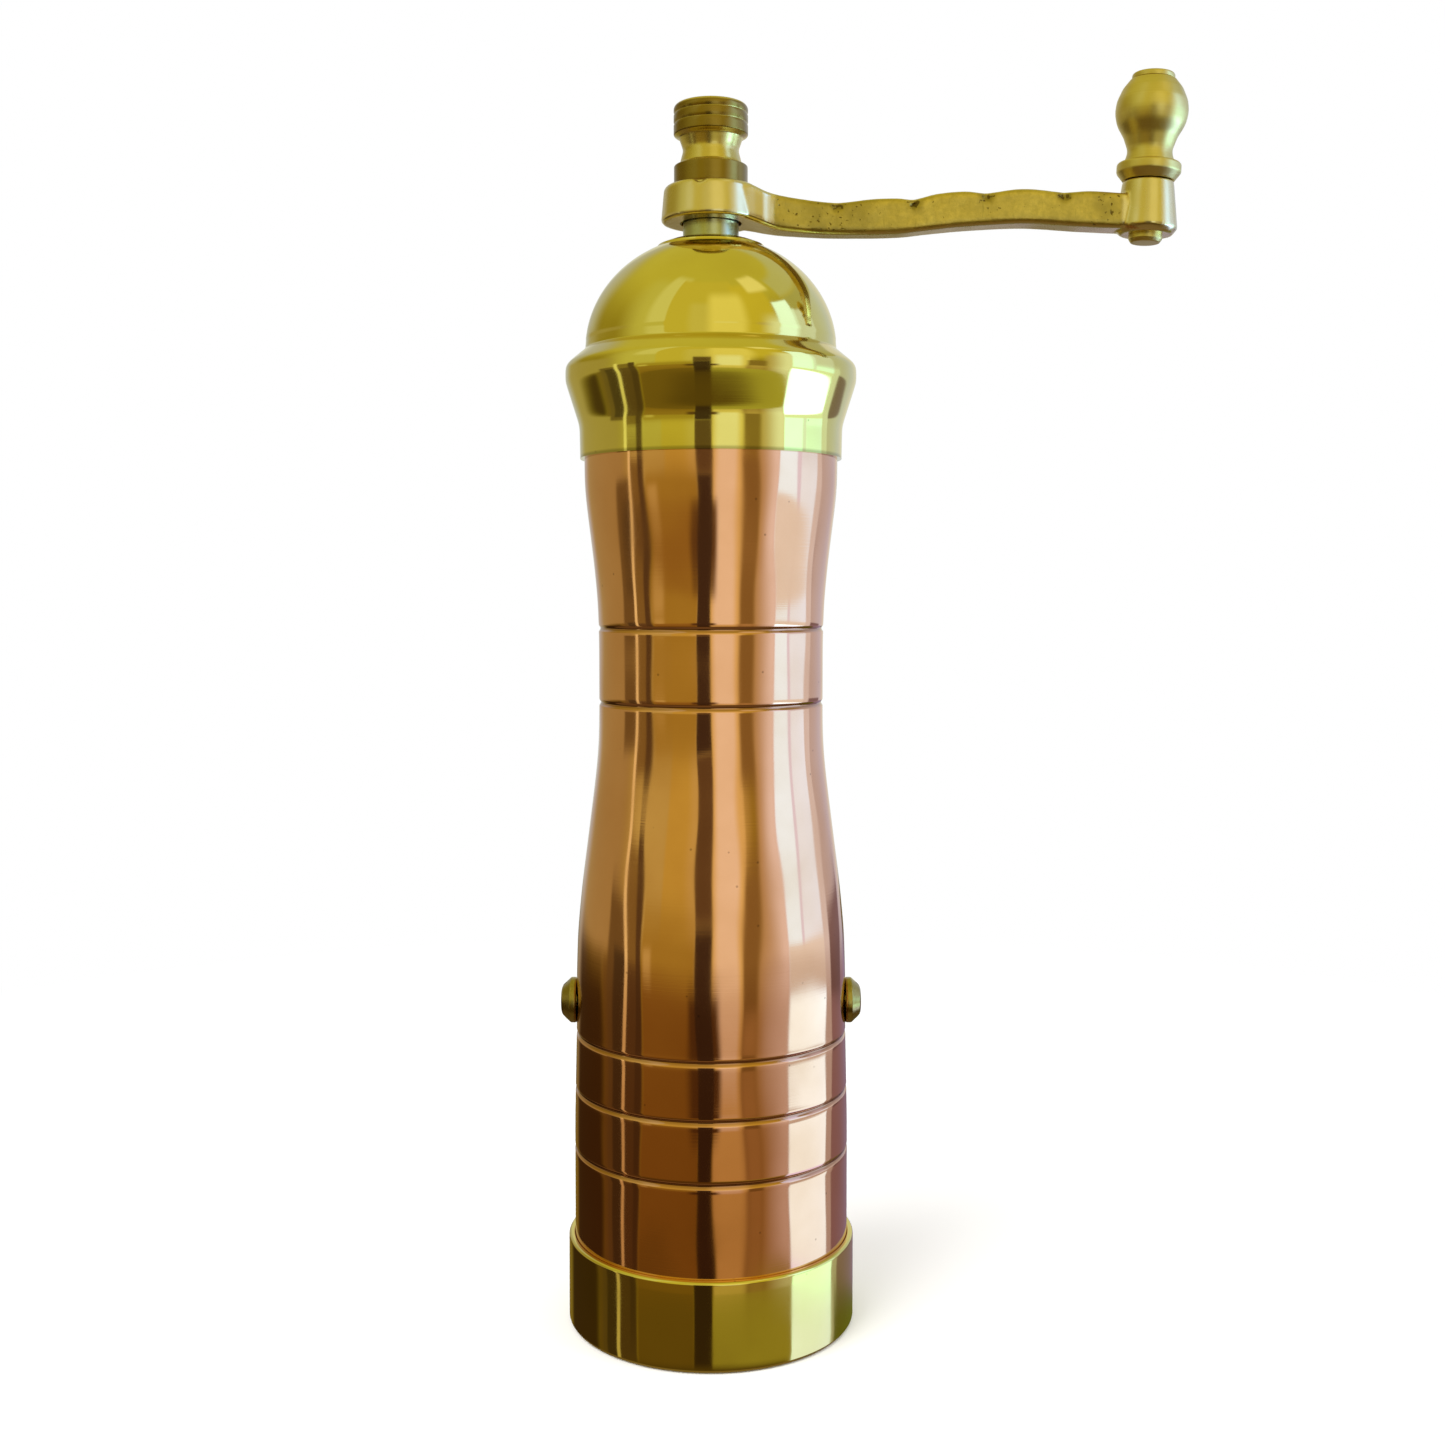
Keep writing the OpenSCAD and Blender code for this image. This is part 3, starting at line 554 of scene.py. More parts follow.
cast_brass = cast_metal("cast_brass", (0.72, 0.58, 0.26), (0.68, 0.50, 0.10), (0.11, 0.065, 0.012),
                        0.22, 0.34, 1.0)
cast_iron = cast_metal("cast_iron", (0.11, 0.11, 0.115), (0.07, 0.07, 0.075), (0.03, 0.03, 0.03),
                       0.5, 0.6, 0.8)
print("finishes:", len(bpy.data.materials))

# %% [markdown]
# ## A lathe made of nodes
# Nearly every visible piece of the mill is turned or spun: a profile swept once round an
# axis. A Screw modifier could do it, but a small node tree is clearer. It lays a grid with
# one row for each profile point, wraps each row round the axis, and welds the seam.


# %% Profiles with rounded corners
def corner_arc(before, here, after, radius, step=math.radians(7)):
    """Points of the arc that rounds a corner, kept within its two legs."""
    to_before, to_after = (before - here), (after - here)
    half = to_before.angle(to_after) / 2
    if radius <= 0 or half > math.radians(89.9):
        return [here]
    reach = min(radius / math.tan(half), 0.5 * to_before.length, 0.5 * to_after.length)
    radius = reach * math.tan(half)
    centre = here + (to_before.normalized() + to_after.normalized()).normalized() * (
        radius / math.sin(half))
    start = here + to_before.normalized() * reach - centre
    end = here + to_after.normalized() * reach - centre
    turn = -start.angle_signed(end)
    count = max(2, math.ceil(abs(turn) / step))
    spin = [Matrix.Rotation(turn * i / count, 2) for i in range(count + 1)]
    return [centre + spun @ start for spun in spin]


def rounded(path):
    """(radius, height, rounding) corners in mm as a list of points."""
    corners = [Vector(c[:2]) for c in path]
    points = [corners[0]]
    for i in range(1, len(path) - 1):
        rounding = path[i][2] if len(path[i]) > 2 else 0
        points += corner_arc(corners[i - 1], corners[i], corners[i + 1], rounding)
    return points + [corners[-1]]


def spaced(points, gap):
    """The same line with extra points, so that no two are further apart than gap."""
    line = [points[0]]
    for a, b in zip(points, points[1:]):
        count = max(1, math.ceil((b - a).length / gap))
        line += [a.lerp(b, i / count) for i in range(1, count + 1)]
    return line


def eased(points, passes):
    """A line whose bends are eased, with its ends left where they are."""
    for _ in range(passes):
        points = [points[0]] + [
            (a + b * 2 + c) / 4 for a, b, c in zip(points, points[1:], points[2:])
        ] + [points[-1]]
    return points


print("a rounded corner has", len(rounded([(0, 0), (5, 0, 1), (5, 4)])), "points")


# %% The lathe tree
def round_axis(tree, radius, angle, height):
    """The point at a radius, an angle and a height on the axis."""
    return add(tree, "ShaderNodeCombineXYZ", {
        0: times(tree, radius, calc(tree, "COSINE", angle)),
        1: times(tree, radius, calc(tree, "SINE", angle)),
        2: height,
    }).outputs[0]


lathe, given, lathe_out = start_group(
    "Turned on a lathe", [("Profile", "Geometry"), ("Segments", "Int"), ("Finish", "Material")],
    [("Turned", "Geometry")], "GeometryNodeTree",
)
corners = add(lathe, "GeometryNodeAttributeDomainSize", {0: given["Profile"]}).outputs[0]
row = calc(lathe, "ADD", given["Segments"], 1.0)
grid = add(lathe, "GeometryNodeMeshGrid", {"Vertices X": corners, "Vertices Y": row}).outputs[0]
index = add(lathe, "GeometryNodeInputIndex").outputs[0]
which = calc(lathe, "FLOOR", calc(lathe, "DIVIDE", calc(lathe, "ADD", index, 0.5), row))
round_by = calc(lathe, "SUBTRACT", index, times(lathe, which, row))
angle = calc(lathe, "DIVIDE", times(lathe, round_by, math.tau), given["Segments"])
position = add(lathe, "GeometryNodeInputPosition").outputs[0]
point = add(lathe, "GeometryNodeSampleIndex",
            {"Geometry": given["Profile"], "Value": position, "Index": which},
            data_type="FLOAT_VECTOR", domain="POINT").outputs[0]
profile_at = add(lathe, "ShaderNodeSeparateXYZ", {0: point}).outputs
wrapped = round_axis(lathe, profile_at["X"], angle, profile_at["Z"])
placed = add(lathe, "GeometryNodeSetPosition", {"Geometry": grid, "Position": wrapped}).outputs[0]
welded = add(lathe, "GeometryNodeMergeByDistance", {"Geometry": placed, "Distance": 1e-6}).outputs[0]
smooth = add(lathe, "GeometryNodeSetShadeSmooth", {"Geometry": welded}).outputs[0]
finished = add(lathe, "GeometryNodeSetMaterial",
               {"Geometry": smooth, "Material": given["Finish"]}).outputs[0]
lathe.links.new(finished, lathe_out["Turned"])
print("lathe:", len(lathe.nodes), "nodes")


def made_plain(piece):
    """Turns what the modifiers make into the piece's own mesh, with faces pointing out."""
    graph = bpy.context.evaluated_depsgraph_get()
    mesh = bpy.data.meshes.new_from_object(piece.evaluated_get(graph))
    piece.modifiers.clear()
    mesh.name = piece.name
    piece.data = mesh
    inside_out = sum(face.center.dot(face.normal) * face.area for face in mesh.polygons) < 0
    if inside_out:
        mesh.flip_normals()


def shape_by(tree, piece, **values):
    """Shapes a piece by a tree, and sets the tree's named inputs by their identifiers."""
    modifier = piece.modifiers.new(tree.name, "NODES")
    modifier.node_group = tree
    for item in tree.interface.items_tree:
        if item.item_type == "SOCKET" and item.in_out == "INPUT" and item.name in values:
            modifier[item.identifier] = values[item.name]
    made_plain(piece)


def turned(name, profile, finish, segments=160, sharp=32, place=None):
    """A turned piece from (radius, height) points in mm; place moves the finished mesh."""
    mesh = bpy.data.meshes.new(name)
    mesh.from_pydata([(p[0] * MM, 0, p[1] * MM) for p in profile],
                     [(i, i + 1) for i in range(len(profile) - 1)], [])
    piece = in_scene(name, mesh)
    shape_by(lathe, piece, Segments=segments, Finish=finish)
    piece.data.set_sharp_from_angle(angle=math.radians(sharp))
    if place is not None:
        piece.data.transform(place)
    print(name, len(piece.data.polygons), "faces")
    return piece


# %% [markdown]
# ## The barrel
# The copper tube is spun over a form: straight where it holds the burrs, drawn in at the
# waist and opened again at the rim. The grooves are rolled in afterwards, so each is a
# small smooth dip. Easing the bends of the profile keeps the reflections from kinking
# where an arc meets a straight.

# %% Barrel
BARREL_WALL = 1.1
FOOT_R, HOLD_R, WAIST_R, MOUTH_R = 23.0, 22.65, 18.75, 21.1
BARREL_FOOT, BARREL_RIM = 1.6, 144.4
GROOVE_W, GROOVE_DEEP, GROOVE_STEPS = 1.15, 0.27, 16

barrel_side = eased(spaced(rounded([
    (FOOT_R, BARREL_FOOT), (FOOT_R, 34, 60), (HOLD_R, 50, 60), (HOLD_R, 65.5, 150),
    (WAIST_R, 96.2, 70), (WAIST_R, 120.6, 100), (MOUTH_R, 139.4, 40), (MOUTH_R, BARREL_RIM),
]), gap=0.8), passes=12)


def grooved(points, heights):
    """The line with a smooth rolled groove at each height."""
    line = [p for p in points if all(abs(p.y - h) > GROOVE_W * 0.55 for h in heights)]
    for height in heights:
        near = min(points, key=lambda p: abs(p.y - height)).x
        for i in range(GROOVE_STEPS + 1):
            share = i / GROOVE_STEPS - 0.5
            dip = GROOVE_DEEP * (0.5 + 0.5 * math.cos(math.tau * share)) ** 0.8
            line.append(Vector((near - dip, height + share * GROOVE_W)))
    return sorted(line, key=lambda p: p.y)


skin = grooved(barrel_side, WAIST_GROOVES + FOOT_GROOVES)
lining = [Vector((p.x - BARREL_WALL, p.y)) for p in barrel_side[::4] + [barrel_side[-1]]]
barrel = turned("barrel_skin", skin + lining[::-1] + skin[:1], copper, segments=224, sharp=40)
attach(barrel, "mill_body")
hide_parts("barrel")

# %% [markdown]
# ## The foot ring
# A plain brass hoop with a rounded upper edge. That edge catches a bright line of light
# all the way round, so it gets its own small fillet.

# %% Foot ring
RING_R, RING_H, RING_INNER, LIP, BASE_MOUTH_R = 24.04, 14.4, 23.04, 1.6, 21.5
ring_profile = rounded([
    (BASE_MOUTH_R, 0), (RING_R - 0.3, 0, 0.1), (RING_R, 0.4, 0.3), (RING_R, RING_H, 0.55),
    (RING_INNER, RING_H, 0.2), (RING_INNER, LIP), (BASE_MOUTH_R, LIP), (BASE_MOUTH_R, 0),
])
foot_ring = turned("foot_ring", spaced(ring_profile, 1.5), brass, segments=224)
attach(foot_ring, "mill_body")
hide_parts("base_ring")

# %% [markdown]
# ## The cap
# One sheet of brass spun into a skirt, a bead and a dome. The dome is a quarter of an
# ellipse, and the raised pad on its crown carries the steel collar.

# %% Cap
SKIRT_R = 21.8
FOLD_Z = 162.5
DOME_R, DOME_H = 20.9, 18.6
CAP_WALL = 1.2
PAD_R, PAD_RISE, STEM_R = 9.0, 0.35, 4.07
COLLAR_R, NUT_R = 4.63, 6.8
DOME_START = 0.09


def dome_height(radius, inset=0.0):
    return FOLD_Z + (DOME_H - inset) * math.sqrt(1 - (radius / (DOME_R - inset)) ** 2)


def dome_line(inset, stop_r, count):
    """Points up the dome from its fold to the radius stop_r."""
    last = math.acos(stop_r / (DOME_R - inset))
    turns = [DOME_START + (last - DOME_START) * i / count for i in range(count + 1)]
    return [Vector(((DOME_R - inset) * math.cos(t), FOLD_Z + (DOME_H - inset) * math.sin(t)))
            for t in turns]


def bead_line(inset):
    """Skirt and bead from the rim to the fold."""
    line = rounded([
        (SKIRT_R - inset, BARREL_RIM), (SKIRT_R + 0.1 - inset, BARREL_RIM + 5.4, 6),
        (SKIRT_R + 2.42 - inset, BARREL_RIM + 12.7, 4),
        (SKIRT_R + 2.4 - inset, BARREL_RIM + 15.3 - inset / 2, 1.8),
        (DOME_R + 0.02 - inset, FOLD_Z - 0.1, 0.4), (DOME_R - 0.1 - inset, FOLD_Z + 1.4),
    ])
    return eased(spaced(line, 0.4), 4)


crown_z = dome_height(COLLAR_R) + PAD_RISE
pad_z = dome_height(PAD_R)
pad_edge = rounded([
    (PAD_R + 0.4, dome_height(PAD_R + 0.4)), (PAD_R + 0.02, pad_z + 0.02, 0.1),
    (PAD_R - 0.1, pad_z + PAD_RISE, 0.18), (PAD_R - 1.2, dome_height(PAD_R - 1.2) + PAD_RISE),
])
crown = [Vector((r, dome_height(r) + PAD_RISE)) for r in (7.2, 6.6, 6.0, 5.4, 4.9)]
crown.append(Vector((STEM_R, crown_z)))
outside = bead_line(0) + dome_line(0, PAD_R + 0.6, 60) + pad_edge + crown
inside = bead_line(CAP_WALL)[::3] + dome_line(CAP_WALL, NUT_R, 24)
nut_seat = dome_height(NUT_R, CAP_WALL)
cap = turned("cap_shell", outside + [Vector((STEM_R, nut_seat))] + inside[::-1] + outside[:1],
             brass, segments=224, sharp=50)
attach(cap, "cap")
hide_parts("cap_dome")

# %% [markdown]
# ## The steel collar
# The collar is the only part of the upper bearing that shows, between the crown of the
# cap and the hub of the crank. Its bore is a running fit on the shaft.

# %% Collar
BUSH_TOP, SHAFT_BORE, STEM_FOOT = crown_z + 4.0, 3.05, 174.43
collar_profile = rounded([
    (SHAFT_BORE, STEM_FOOT), (STEM_R - 0.04, STEM_FOOT), (STEM_R - 0.04, crown_z),
    (COLLAR_R, crown_z), (COLLAR_R, BUSH_TOP, 0.3), (SHAFT_BORE, BUSH_TOP),
    (SHAFT_BORE, STEM_FOOT),
])
collar = turned("steel_collar", spaced(collar_profile, 1.5), collar_steel, segments=128)
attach(collar, "cap")
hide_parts("cap_bush")

# %% [markdown]
# ## The adjusting knob
# Turned from bar: a flange that bears on the hub, a cove for the fingertips and a head
# with two fine rings. The knob is hollow underneath, where it takes the shaft's thread.

# %% Adjusting knob
COUNTERBORE, HUB_H = 1.5, 6.0
HUB_TOP = BUSH_TOP - COUNTERBORE + HUB_H
KNOB_R, KNOB_H = 6.18, 13.5
KNOB_RINGS, RING_DEEP, RING_W = (1.5, 3.25), 0.16, 0.13
KNOB_BORE, KNOB_CROWN = 2.05, 2.5
KNOB_RECESS_R, KNOB_RECESS = 3.15, 2.0

knob_side = rounded([
    (KNOB_RECESS_R, 0), (KNOB_R - 0.05, 0, 0.2), (KNOB_R - 0.05, 3.3, 0.25),
    (KNOB_R - 1.0, 3.75, 0.35), (KNOB_R - 1.6, 6.0, 1.8), (KNOB_R - 0.9, 8.0, 0.5),
    (KNOB_R, 8.5, 0.3), (KNOB_R, KNOB_H, 0.9), (0, KNOB_H),
])
knob_line = []
for spot in spaced(knob_side, 0.35):
    depth = sum(math.exp(-((KNOB_H - ring - spot.y) / RING_W) ** 2) for ring in KNOB_RINGS)
    dip = RING_DEEP * depth if spot.x > KNOB_R - 0.1 else 0
    knob_line.append(Vector((spot.x - dip, spot.y)))
knob_line += [Vector(corner) for corner in (
    (0, KNOB_H - KNOB_CROWN), (KNOB_BORE, KNOB_H - KNOB_CROWN), (KNOB_BORE, KNOB_RECESS),
    (KNOB_RECESS_R, KNOB_RECESS), (KNOB_RECESS_R, 0))]
knob = turned("knob", knob_line, knob_brass, sharp=38,
              place=Matrix.Translation((0, 0, HUB_TOP * MM)))
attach(knob, "knob")
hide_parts("adjusting_knob")

# %% [markdown]
# ## The grip and its pin
# The grip leans a little outwards, as it does on a casting whose socket is bored square to
# the rising end of the arm. It is turned on its own axis first and then leant over. The
# pin's head sits on top of the grip, and its foot is riveted under the socket.

# %% Grip and pin
lean_over = Matrix.Translation(GRIP_FOOT) @ Matrix.Rotation(GRIP_LEAN, 4, "Y")
PIN_R, PIN_BORE = 2.4, 2.45
# heights along the leaning axis, from the point GRIP_FOOT
SOCKET_TOP, SOCKET_FOOT, PIN_FOOT = 0.85, -7.9, -9.2
GRIP_SEAT, GRIP_H = SOCKET_TOP + 0.1, 16.6
GRIP_TOP = GRIP_SEAT + GRIP_H

grip_side = rounded([(radius, GRIP_SEAT + height, *rounding) for radius, height, *rounding in (
    (PIN_BORE, 0), (4.2, 0, 0.2), (5.25, 1.35, 0.7), (5.25, 2.8, 0.5), (4.1, 3.1, 0.15),
    (3.55, 4.9, 2.5), (4.4, 7.3, 4), (5.55, 9.3, 5), (5.99, 11.3, 5), (5.75, 13.1, 4),
    (4.9, 15.1, 3), (3.75, GRIP_H, 0.2), (PIN_BORE, GRIP_H), (PIN_BORE, 0),
)])
grip = turned("turned_grip", spaced(grip_side, 0.5), grip_brass, 144, 38, place=lean_over)
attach(grip, "grip")
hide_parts("grip")

RIVET_R, PIN_HEAD_R = 2.75, 3.5
HEAD_FOOT, HEAD_TOP = GRIP_TOP + 0.1, GRIP_TOP + 1.08
pin_side = rounded([
    (0, PIN_FOOT), (RIVET_R - 0.4, PIN_FOOT, 0.3), (RIVET_R, PIN_FOOT + 0.6, 0.3),
    (RIVET_R, SOCKET_FOOT), (PIN_R, SOCKET_FOOT), (PIN_R, HEAD_FOOT),
    (PIN_HEAD_R, HEAD_FOOT, 0.1), (PIN_HEAD_R - 0.02, HEAD_TOP, 0.45), (0, HEAD_TOP),
])
pin = turned("riveted_pin", spaced(pin_side, 0.8), grip_brass, 96, 40, place=lean_over)
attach(pin, "crank")
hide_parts("grip_pin")

# %% [markdown]
# ## The side screws
# Two brass screws with domed, slotted heads hold the burr housing. One screw is turned and
# its slot cut, and a node tree then stands a copy on each side of the barrel.


# %% Side screws
def box_tool(name, wide, deep, tall, middle):
    """A box in mm to cut with, its middle at a height on the axis."""
    cutter = bmesh.new()
    bmesh.ops.create_cube(cutter, size=1, matrix=Matrix.Translation((0, 0, middle * MM))
                          @ Matrix.Diagonal((wide * MM, deep * MM, tall * MM, 1)))
    return in_scene(name, as_mesh(name, cutter))


def cut_away(piece, *tools):
    """Cuts the tools out of a piece, then throws them away."""
    for tool in tools:
        cut = piece.modifiers.new("cut", "BOOLEAN")
        cut.object = tool
        cut.solver = "EXACT"
    made_plain(piece)
    for tool in tools:
        bpy.data.objects.remove(tool)


SCREW_Z, SCREW_R, SCREW_L, HEAD_R, HEAD_H = 53.3, 1.5, 4.1, 3.8, 2.6
SLOT_W, SLOT_DEEP = 0.8, 0.8
screw_side = rounded([
    (0, -SCREW_L), (SCREW_R, -SCREW_L, 0.3), (SCREW_R, 0), (HEAD_R - 0.1, 0, 0.1), (HEAD_R, 0.3, 0.2),
    (HEAD_R, 1.0, 0.5), (HEAD_R - 1.5, HEAD_H, 1.4), (0, HEAD_H),
])
screw = turned("side_screw", spaced(screw_side, 0.5), screw_brass, segments=64)
cut_away(screw, box_tool("slot_tool", 9.0, SLOT_W, 2 * SLOT_DEEP, HEAD_H))

# %% A screw on each side
pair, given, pair_out = start_group(
    "Screws on both sides", [("Screw", "Geometry"), ("Count", "Int"), ("Radius", "Float"),
                             ("Height", "Float"), ("Finish", "Material")],
    [("Screws", "Geometry")], "GeometryNodeTree",
)
ends = add(pair, "GeometryNodePoints", {"Count": given["Count"]}).outputs[0]
index = add(pair, "GeometryNodeInputIndex").outputs[0]
turn = calc(pair, "DIVIDE", times(pair, index, math.tau), given["Count"])
seat = round_axis(pair, given["Radius"], turn, given["Height"])
facing = add(pair, "ShaderNodeCombineXYZ", {1: math.pi / 2, 2: turn}).outputs[0]
placed = add(pair, "GeometryNodeSetPosition", {"Geometry": ends, "Position": seat}).outputs[0]
stood = add(pair, "GeometryNodeInstanceOnPoints",
            {"Points": placed, "Instance": given["Screw"], "Rotation": facing}).outputs[0]
real = add(pair, "GeometryNodeRealizeInstances", {0: stood}).outputs[0]
finished = add(pair, "GeometryNodeSetMaterial",
               {"Geometry": real, "Material": given["Finish"]}).outputs[0]
pair.links.new(finished, pair_out["Screws"])
shape_by(pair, screw, Count=2, Radius=(HOLD_R + 0.02) * MM, Height=SCREW_Z * MM,
         Finish=screw_brass)
screw.data.set_sharp_from_angle(angle=math.radians(35))
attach(screw, "mill_body")
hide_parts("side_screws")
print("both screws", len(screw.data.polygons), "faces")

# %% [markdown]
# ## The crank
# A brass sand casting: a round hub, an arm that dips and rises in a slow S with four
# shallow scallops along its top edge, and a leaning socket for the grip. The three are
# made as closed meshes that run into each other. A voxel remesh then melts them into one
# skin, as the mould did, and a little smoothing rounds the corners where they meet.


# %% Crank sections
def hermite(points, x):
    """A smooth curve through (x, value) points."""
    last = len(points) - 1
    i = max(j for j in range(last) if j == 0 or points[j][0] <= x)

    def slope(j):
        a, b = points[max(0, j - 1)], points[min(last, j + 1)]
        return (b[1] - a[1]) / (b[0] - a[0])

    width = points[i + 1][0] - points[i][0]
    t = (x - points[i][0]) / width
    return ((2 * t**3 - 3 * t**2 + 1) * points[i][1] + (t**3 - 2 * t**2 + t) * width * slope(i)
            + (3 * t**2 - 2 * t**3) * points[i + 1][1] + (t**3 - t**2) * width * slope(i + 1))


CRANK_R = 72.65
# share of the crank's radius, and height below the top of the hub in mm
ARM_TOP = [(0.05, -0.2), (0.09, -0.5), (0.125, -1.4), (0.2, -2.3), (0.287, -2.9), (0.37, -2.3),
           (0.425, -2.2), (0.461, -2.4), (0.515, -1.5), (0.578, -1.1), (0.627, -1.4),
           (0.69, -0.8), (0.735, -0.8), (0.802, -1.3), (0.86, -1.1), (0.93, -1.4), (1.0, -1.5)]
ARM_FOOT = [(0.05, -5.6), (0.1, -6.5), (0.14, -7.3), (0.18, -7.7), (0.27, -8.1), (0.425, -8.0),
            (0.5, -7.4), (0.59, -6.8), (0.72, -6.4), (0.84, -6.9), (0.95, -7.2), (1.0, -7.0)]
ARM_HALF = [(0.05, 6.5), (0.077, 5.8), (0.1, 5.05), (0.122, 4.4), (0.13, 4.0), (0.138, 3.72),
            (0.16, 3.25), (0.2, 2.8), (0.3, 2.55), (0.6, 2.85), (1.0, 3.15)]
ARM_ROUND = 0.9
DIPS = (0.287, 0.461, 0.627, 0.802)


def arm_section(share, per_corner=5):
    """A rounded box across the arm."""
    top, foot = hermite(ARM_TOP, share), hermite(ARM_FOOT, share)
    wide = hermite(ARM_HALF, share) - ARM_ROUND
    mid, tall = HUB_TOP + (top + foot) / 2, (top - foot) / 2 - ARM_ROUND
    ring = []
    for quarter in range(4):
        for step in range(per_corner):
            a = math.pi / 2 * (quarter + step / (per_corner - 1))
            y = (-wide if quarter in (1, 2) else wide) + ARM_ROUND * math.cos(a)
            z = mid + (tall if quarter < 2 else -tall) + ARM_ROUND * math.sin(a)
            ring.append((share * CRANK_R * MM, y * MM, z * MM))
    return ring


def lofted(name, sections):
    """A closed skin over rings of points."""
    count, last = len(sections[0]), len(sections) - 1
    points = [p for ring in sections for p in ring]
    faces = []
    for i in range(last):
        for j in range(count):
            a, b = i * count + j, i * count + (j + 1) % count
            faces.append((a, b, b + count, a + count))
    faces += [tuple(range(count))[::-1], tuple(last * count + j for j in range(count))]
    mesh = bpy.data.meshes.new(name)
    mesh.from_pydata(points, [], faces)
    return mesh


print("arm is", round(2 * hermite(ARM_HALF, 0.5), 2), "mm thick half way")

# %% Crank casting
HUB_R, HUB_TAPER = 8.4, 0.65
HUB_FOOT = HUB_TOP - HUB_H
ARM_START, ARM_LENGTH, ARM_STEPS = 0.06, 0.885, 90
VOXEL = 0.24
hub = turned("hub", rounded([
    (0, HUB_FOOT), (HUB_R - 0.1, HUB_FOOT, 0.5), (HUB_R - HUB_TAPER, HUB_TOP, 1.0), (0, HUB_TOP),
]), cast_brass, segments=128)
socket = turned("socket", rounded([
    (0, SOCKET_FOOT), (4.3, SOCKET_FOOT, 0.2), (5.1, SOCKET_FOOT + 1.0, 0.6),
    (4.18, SOCKET_TOP, 0.3), (0, SOCKET_TOP),
]), cast_brass, segments=96, place=lean_over)
arm_mesh = lofted("arm", [arm_section(ARM_START + ARM_LENGTH * i / ARM_STEPS)
                          for i in range(ARM_STEPS + 1)])
casting = bmesh.new()
for part_mesh in (hub.data, socket.data, arm_mesh):
    casting.from_mesh(part_mesh)
crank = in_scene("crank_casting", as_mesh("crank_casting", casting))
bpy.data.objects.remove(hub)
bpy.data.objects.remove(socket)
melt = crank.modifiers.new("melt", "REMESH")
melt.mode = "VOXEL"
melt.voxel_size = VOXEL * MM
even = crank.modifiers.new("even", "SMOOTH")
even.factor = 0.5
even.iterations = 5
made_plain(crank)
print("casting", len(crank.data.polygons), "faces")


# %% [markdown]
# The hub is bored square for the shaft and counterbored for the collar, and the socket is
# bored for the pin. The mould left its skin on the flat faces of the arm: shallow waves,
# pits and a nick at each scallop. The waves and nicks are pressed into the mesh, and the
# same rule writes two values that the finish reads: where the skin is, and how pitted.


# %% Bores
def drill(name, radius, foot, top, place=None):
    """A round tool to cut with."""
    side = [(0, foot), (radius, foot), (radius, top), (0, top)]
    return turned(name, side, cast_brass, 96, 30, place)


SHAFT_SQUARE = 3.0 * math.sqrt(2) - 0.04
COLLAR_GAP, COLLAR_TOP_GAP, SQUARE_GAP, PIN_GAP, OVERRUN = 0.5, 0.03, 0.06, 0.04, 3
hole = SHAFT_SQUARE + SQUARE_GAP
cut_away(
    crank,
    drill("collar_tool", COLLAR_R + COLLAR_GAP, HUB_FOOT - OVERRUN, BUSH_TOP + COLLAR_TOP_GAP),
    box_tool("square_tool", hole, hole, 20, HUB_TOP),
    drill("pin_tool", PIN_R + PIN_GAP, SOCKET_FOOT - OVERRUN, SOCKET_TOP + OVERRUN, lean_over),
)
print("bored casting", len(crank.data.polygons), "faces")


# %% Skin and nicks
def step_between(value, low, high):
    t = min(1.0, max(0.0, (value - low) / (high - low)))
    return t * t * (3 - 2 * t)


NECK_X, NECK_BOW, SOCKET_EDGE = 10.2, 0.05, (67.3, 68.0)


def cast_share(place, normal):
    """How much of the mould's skin is left: all on the arm's faces, none on hub or socket."""
    x, z = place.x / MM, place.z / MM
    neck = NECK_X + NECK_BOW * (z - HUB_TOP + 5) ** 2
    along = step_between(x, neck - 0.3, neck + 0.5) * (1 - step_between(x, *SOCKET_EDGE))
    return along * step_between(abs(normal.y), 0.35, 0.8)


def pit_share(share):
    """How pitted the arm is at a share of its length: most by the hub and the socket."""
    near_hub = 1 - step_between(share, 0.24, 0.46)
    near_socket = step_between(share, 0.84, 0.92)
    return 0.25 + 0.75 * max(near_hub, 0.8 * near_socket)


def dent(place, middle, radius):
    """1 in the middle of a dent, falling away beyond its radius in mm."""
    return math.exp(-(((place - middle).length / MM / radius) ** 2))


SKIN_SUNK = 0.10
NICK_R, NICK_DEEP, NICK_GRIME_R, NICK_GRIME = 0.7, 0.55, 1.2, 2.2
nicks = [Vector((dip * CRANK_R, -hermite(ARM_HALF, dip), HUB_TOP + hermite(ARM_TOP, dip) - 0.7)) * MM
         for dip in DIPS]
HUB_NICK, HUB_NICK_R, HUB_NICK_DEEP = Vector((-1.8, -7.4, HUB_TOP)) * MM, 0.75, 0.7

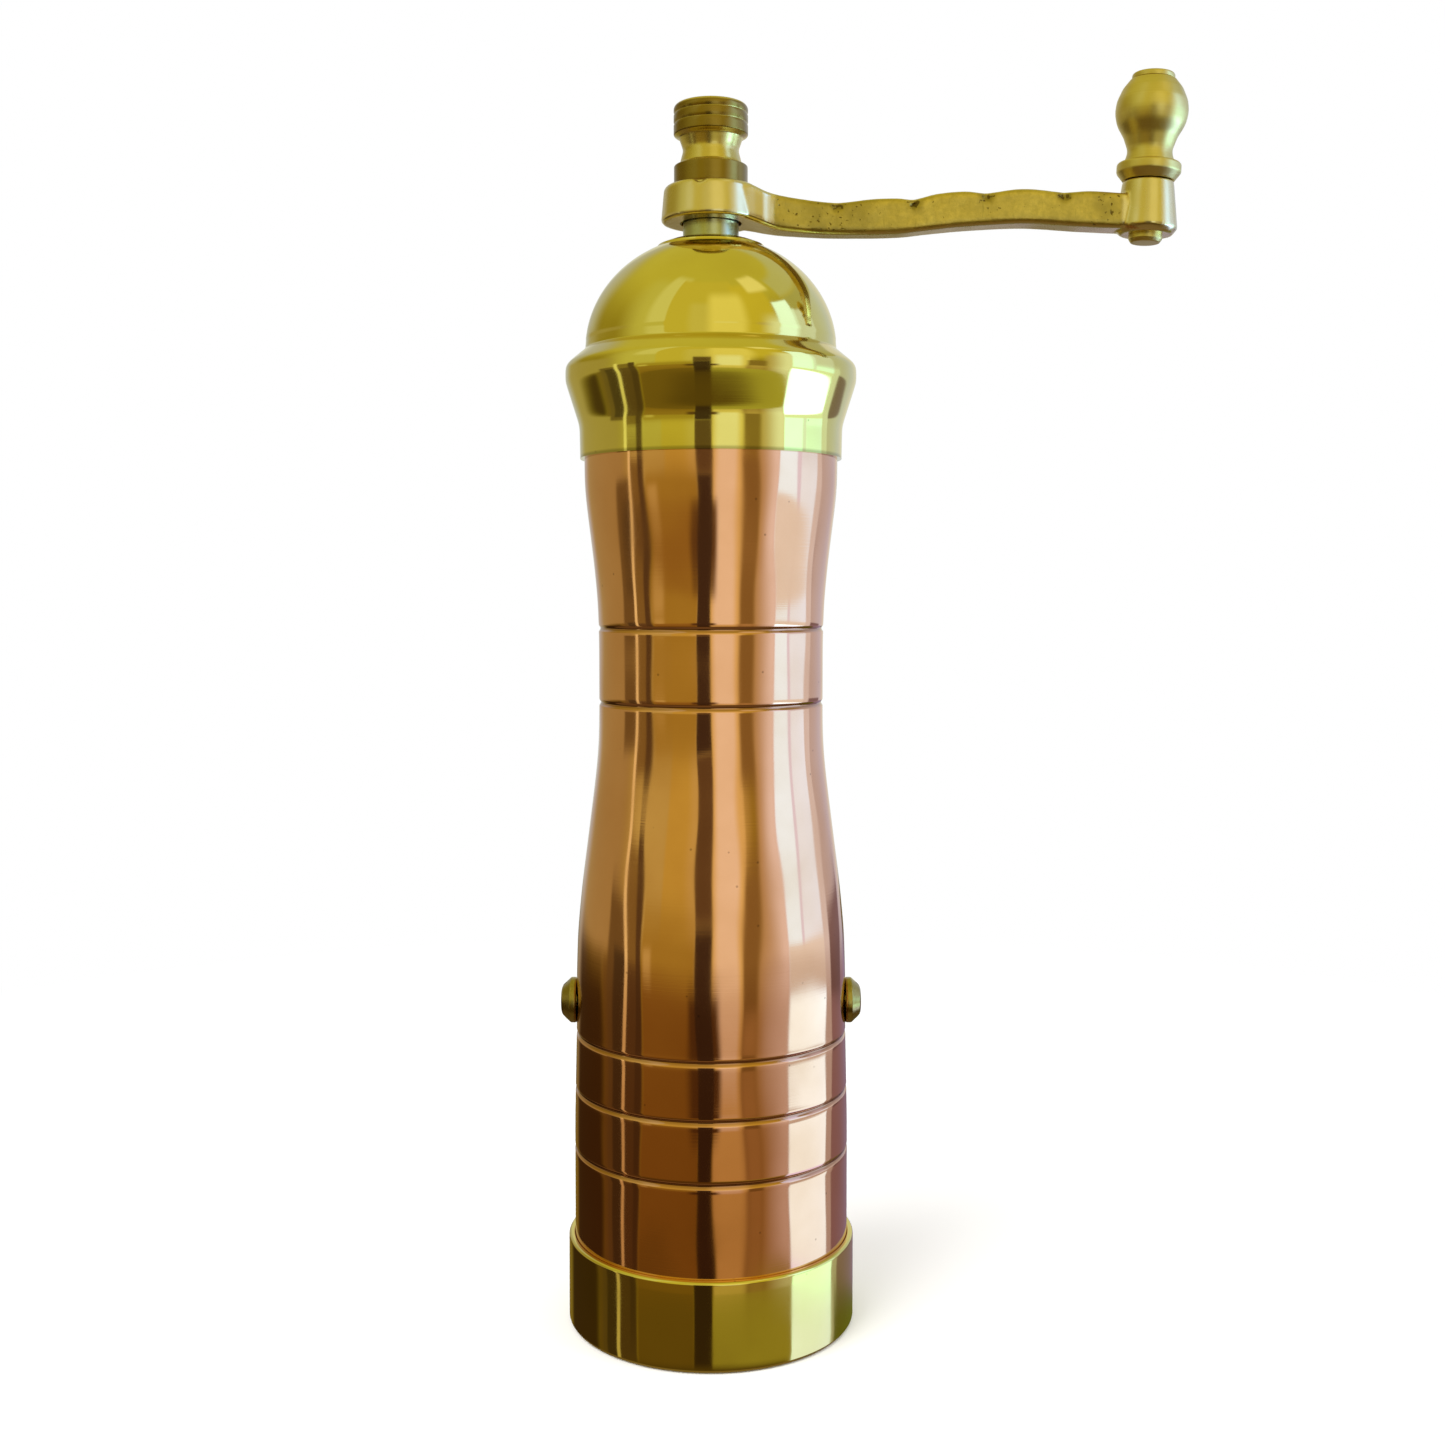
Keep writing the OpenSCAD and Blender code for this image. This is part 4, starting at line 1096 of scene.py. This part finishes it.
mesh = crank.data
cast_values, grime_values, moved = [], [], []
for vertex in mesh.vertices:
    place, normal = vertex.co.copy(), vertex.normal
    cast = cast_share(place, normal)
    share = place.x / MM / CRANK_R
    waves = 0.07 * noise.noise(place * 160) + 0.03 * noise.noise(place * 420)
    push = cast * (waves - SKIN_SUNK)
    torn = 0.6 + 0.8 * abs(noise.noise(place * 900))
    nicked = 0.0
    for nick in nicks:
        push -= NICK_DEEP * torn * dent(place, nick, NICK_R)
        nicked = max(nicked, NICK_GRIME * torn * dent(place, nick, NICK_GRIME_R))
    push -= HUB_NICK_DEEP * dent(place, HUB_NICK, HUB_NICK_R)
    buff = 0.02 * noise.noise(place * 260) if share > 0 else 0
    moved.append(place + normal * (push + buff * (1 - cast)) * MM)
    cast_values.append(cast)
    grime_values.append(max(pit_share(share) * (0.7 + 0.6 * noise.noise(place * 110)), nicked))
for vertex, place in zip(mesh.vertices, moved):
    vertex.co = place
for name, values in (("cast", cast_values), ("grime", grime_values)):
    mesh.attributes.new(name, "FLOAT", "POINT").data.foreach_set("value", values)
mesh.materials.clear()
mesh.materials.append(cast_brass)
for face in mesh.polygons:
    face.material_index = 0
    face.use_smooth = True
mesh.set_sharp_from_angle(angle=math.radians(48))
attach(crank, "crank")
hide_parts("crank_arm")
print("crank", len(mesh.polygons), "faces,", sum(v > 0.5 for v in cast_values), "points cast")

# %% [markdown]
# ## The working parts
# The burrs, the bridge, the shaft and their fixings keep the frame's own shapes, which are
# already exact. They get the finishes of their metals: dark hardened steel, black iron,
# bright turned steel and plain brass.

# %% Finishes of the working parts
FINISHES = {
    cast_iron: ["burr_housing", "bearing_bridge"],
    burr_steel: ["outer_burr", "inner_burr"],
    shaft_steel: ["shaft", "burr_screws", "bridge_screws", "burr_washer", "burr_nut", "burr_spring"],
    inner_brass: ["bridge_bush", "thrust_washer", "cap_sleeve", "bush_nut"],
}
for finish, names in FINISHES.items():
    for name in names:
        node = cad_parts[name]
        node.data.materials.clear()
        node.data.materials.append(finish)
        print(name, "gets", finish.name)

# %% [markdown]
# The fine meshes must fill the same box as the working model.

# %% Update the scene
bpy.context.view_layer.update()
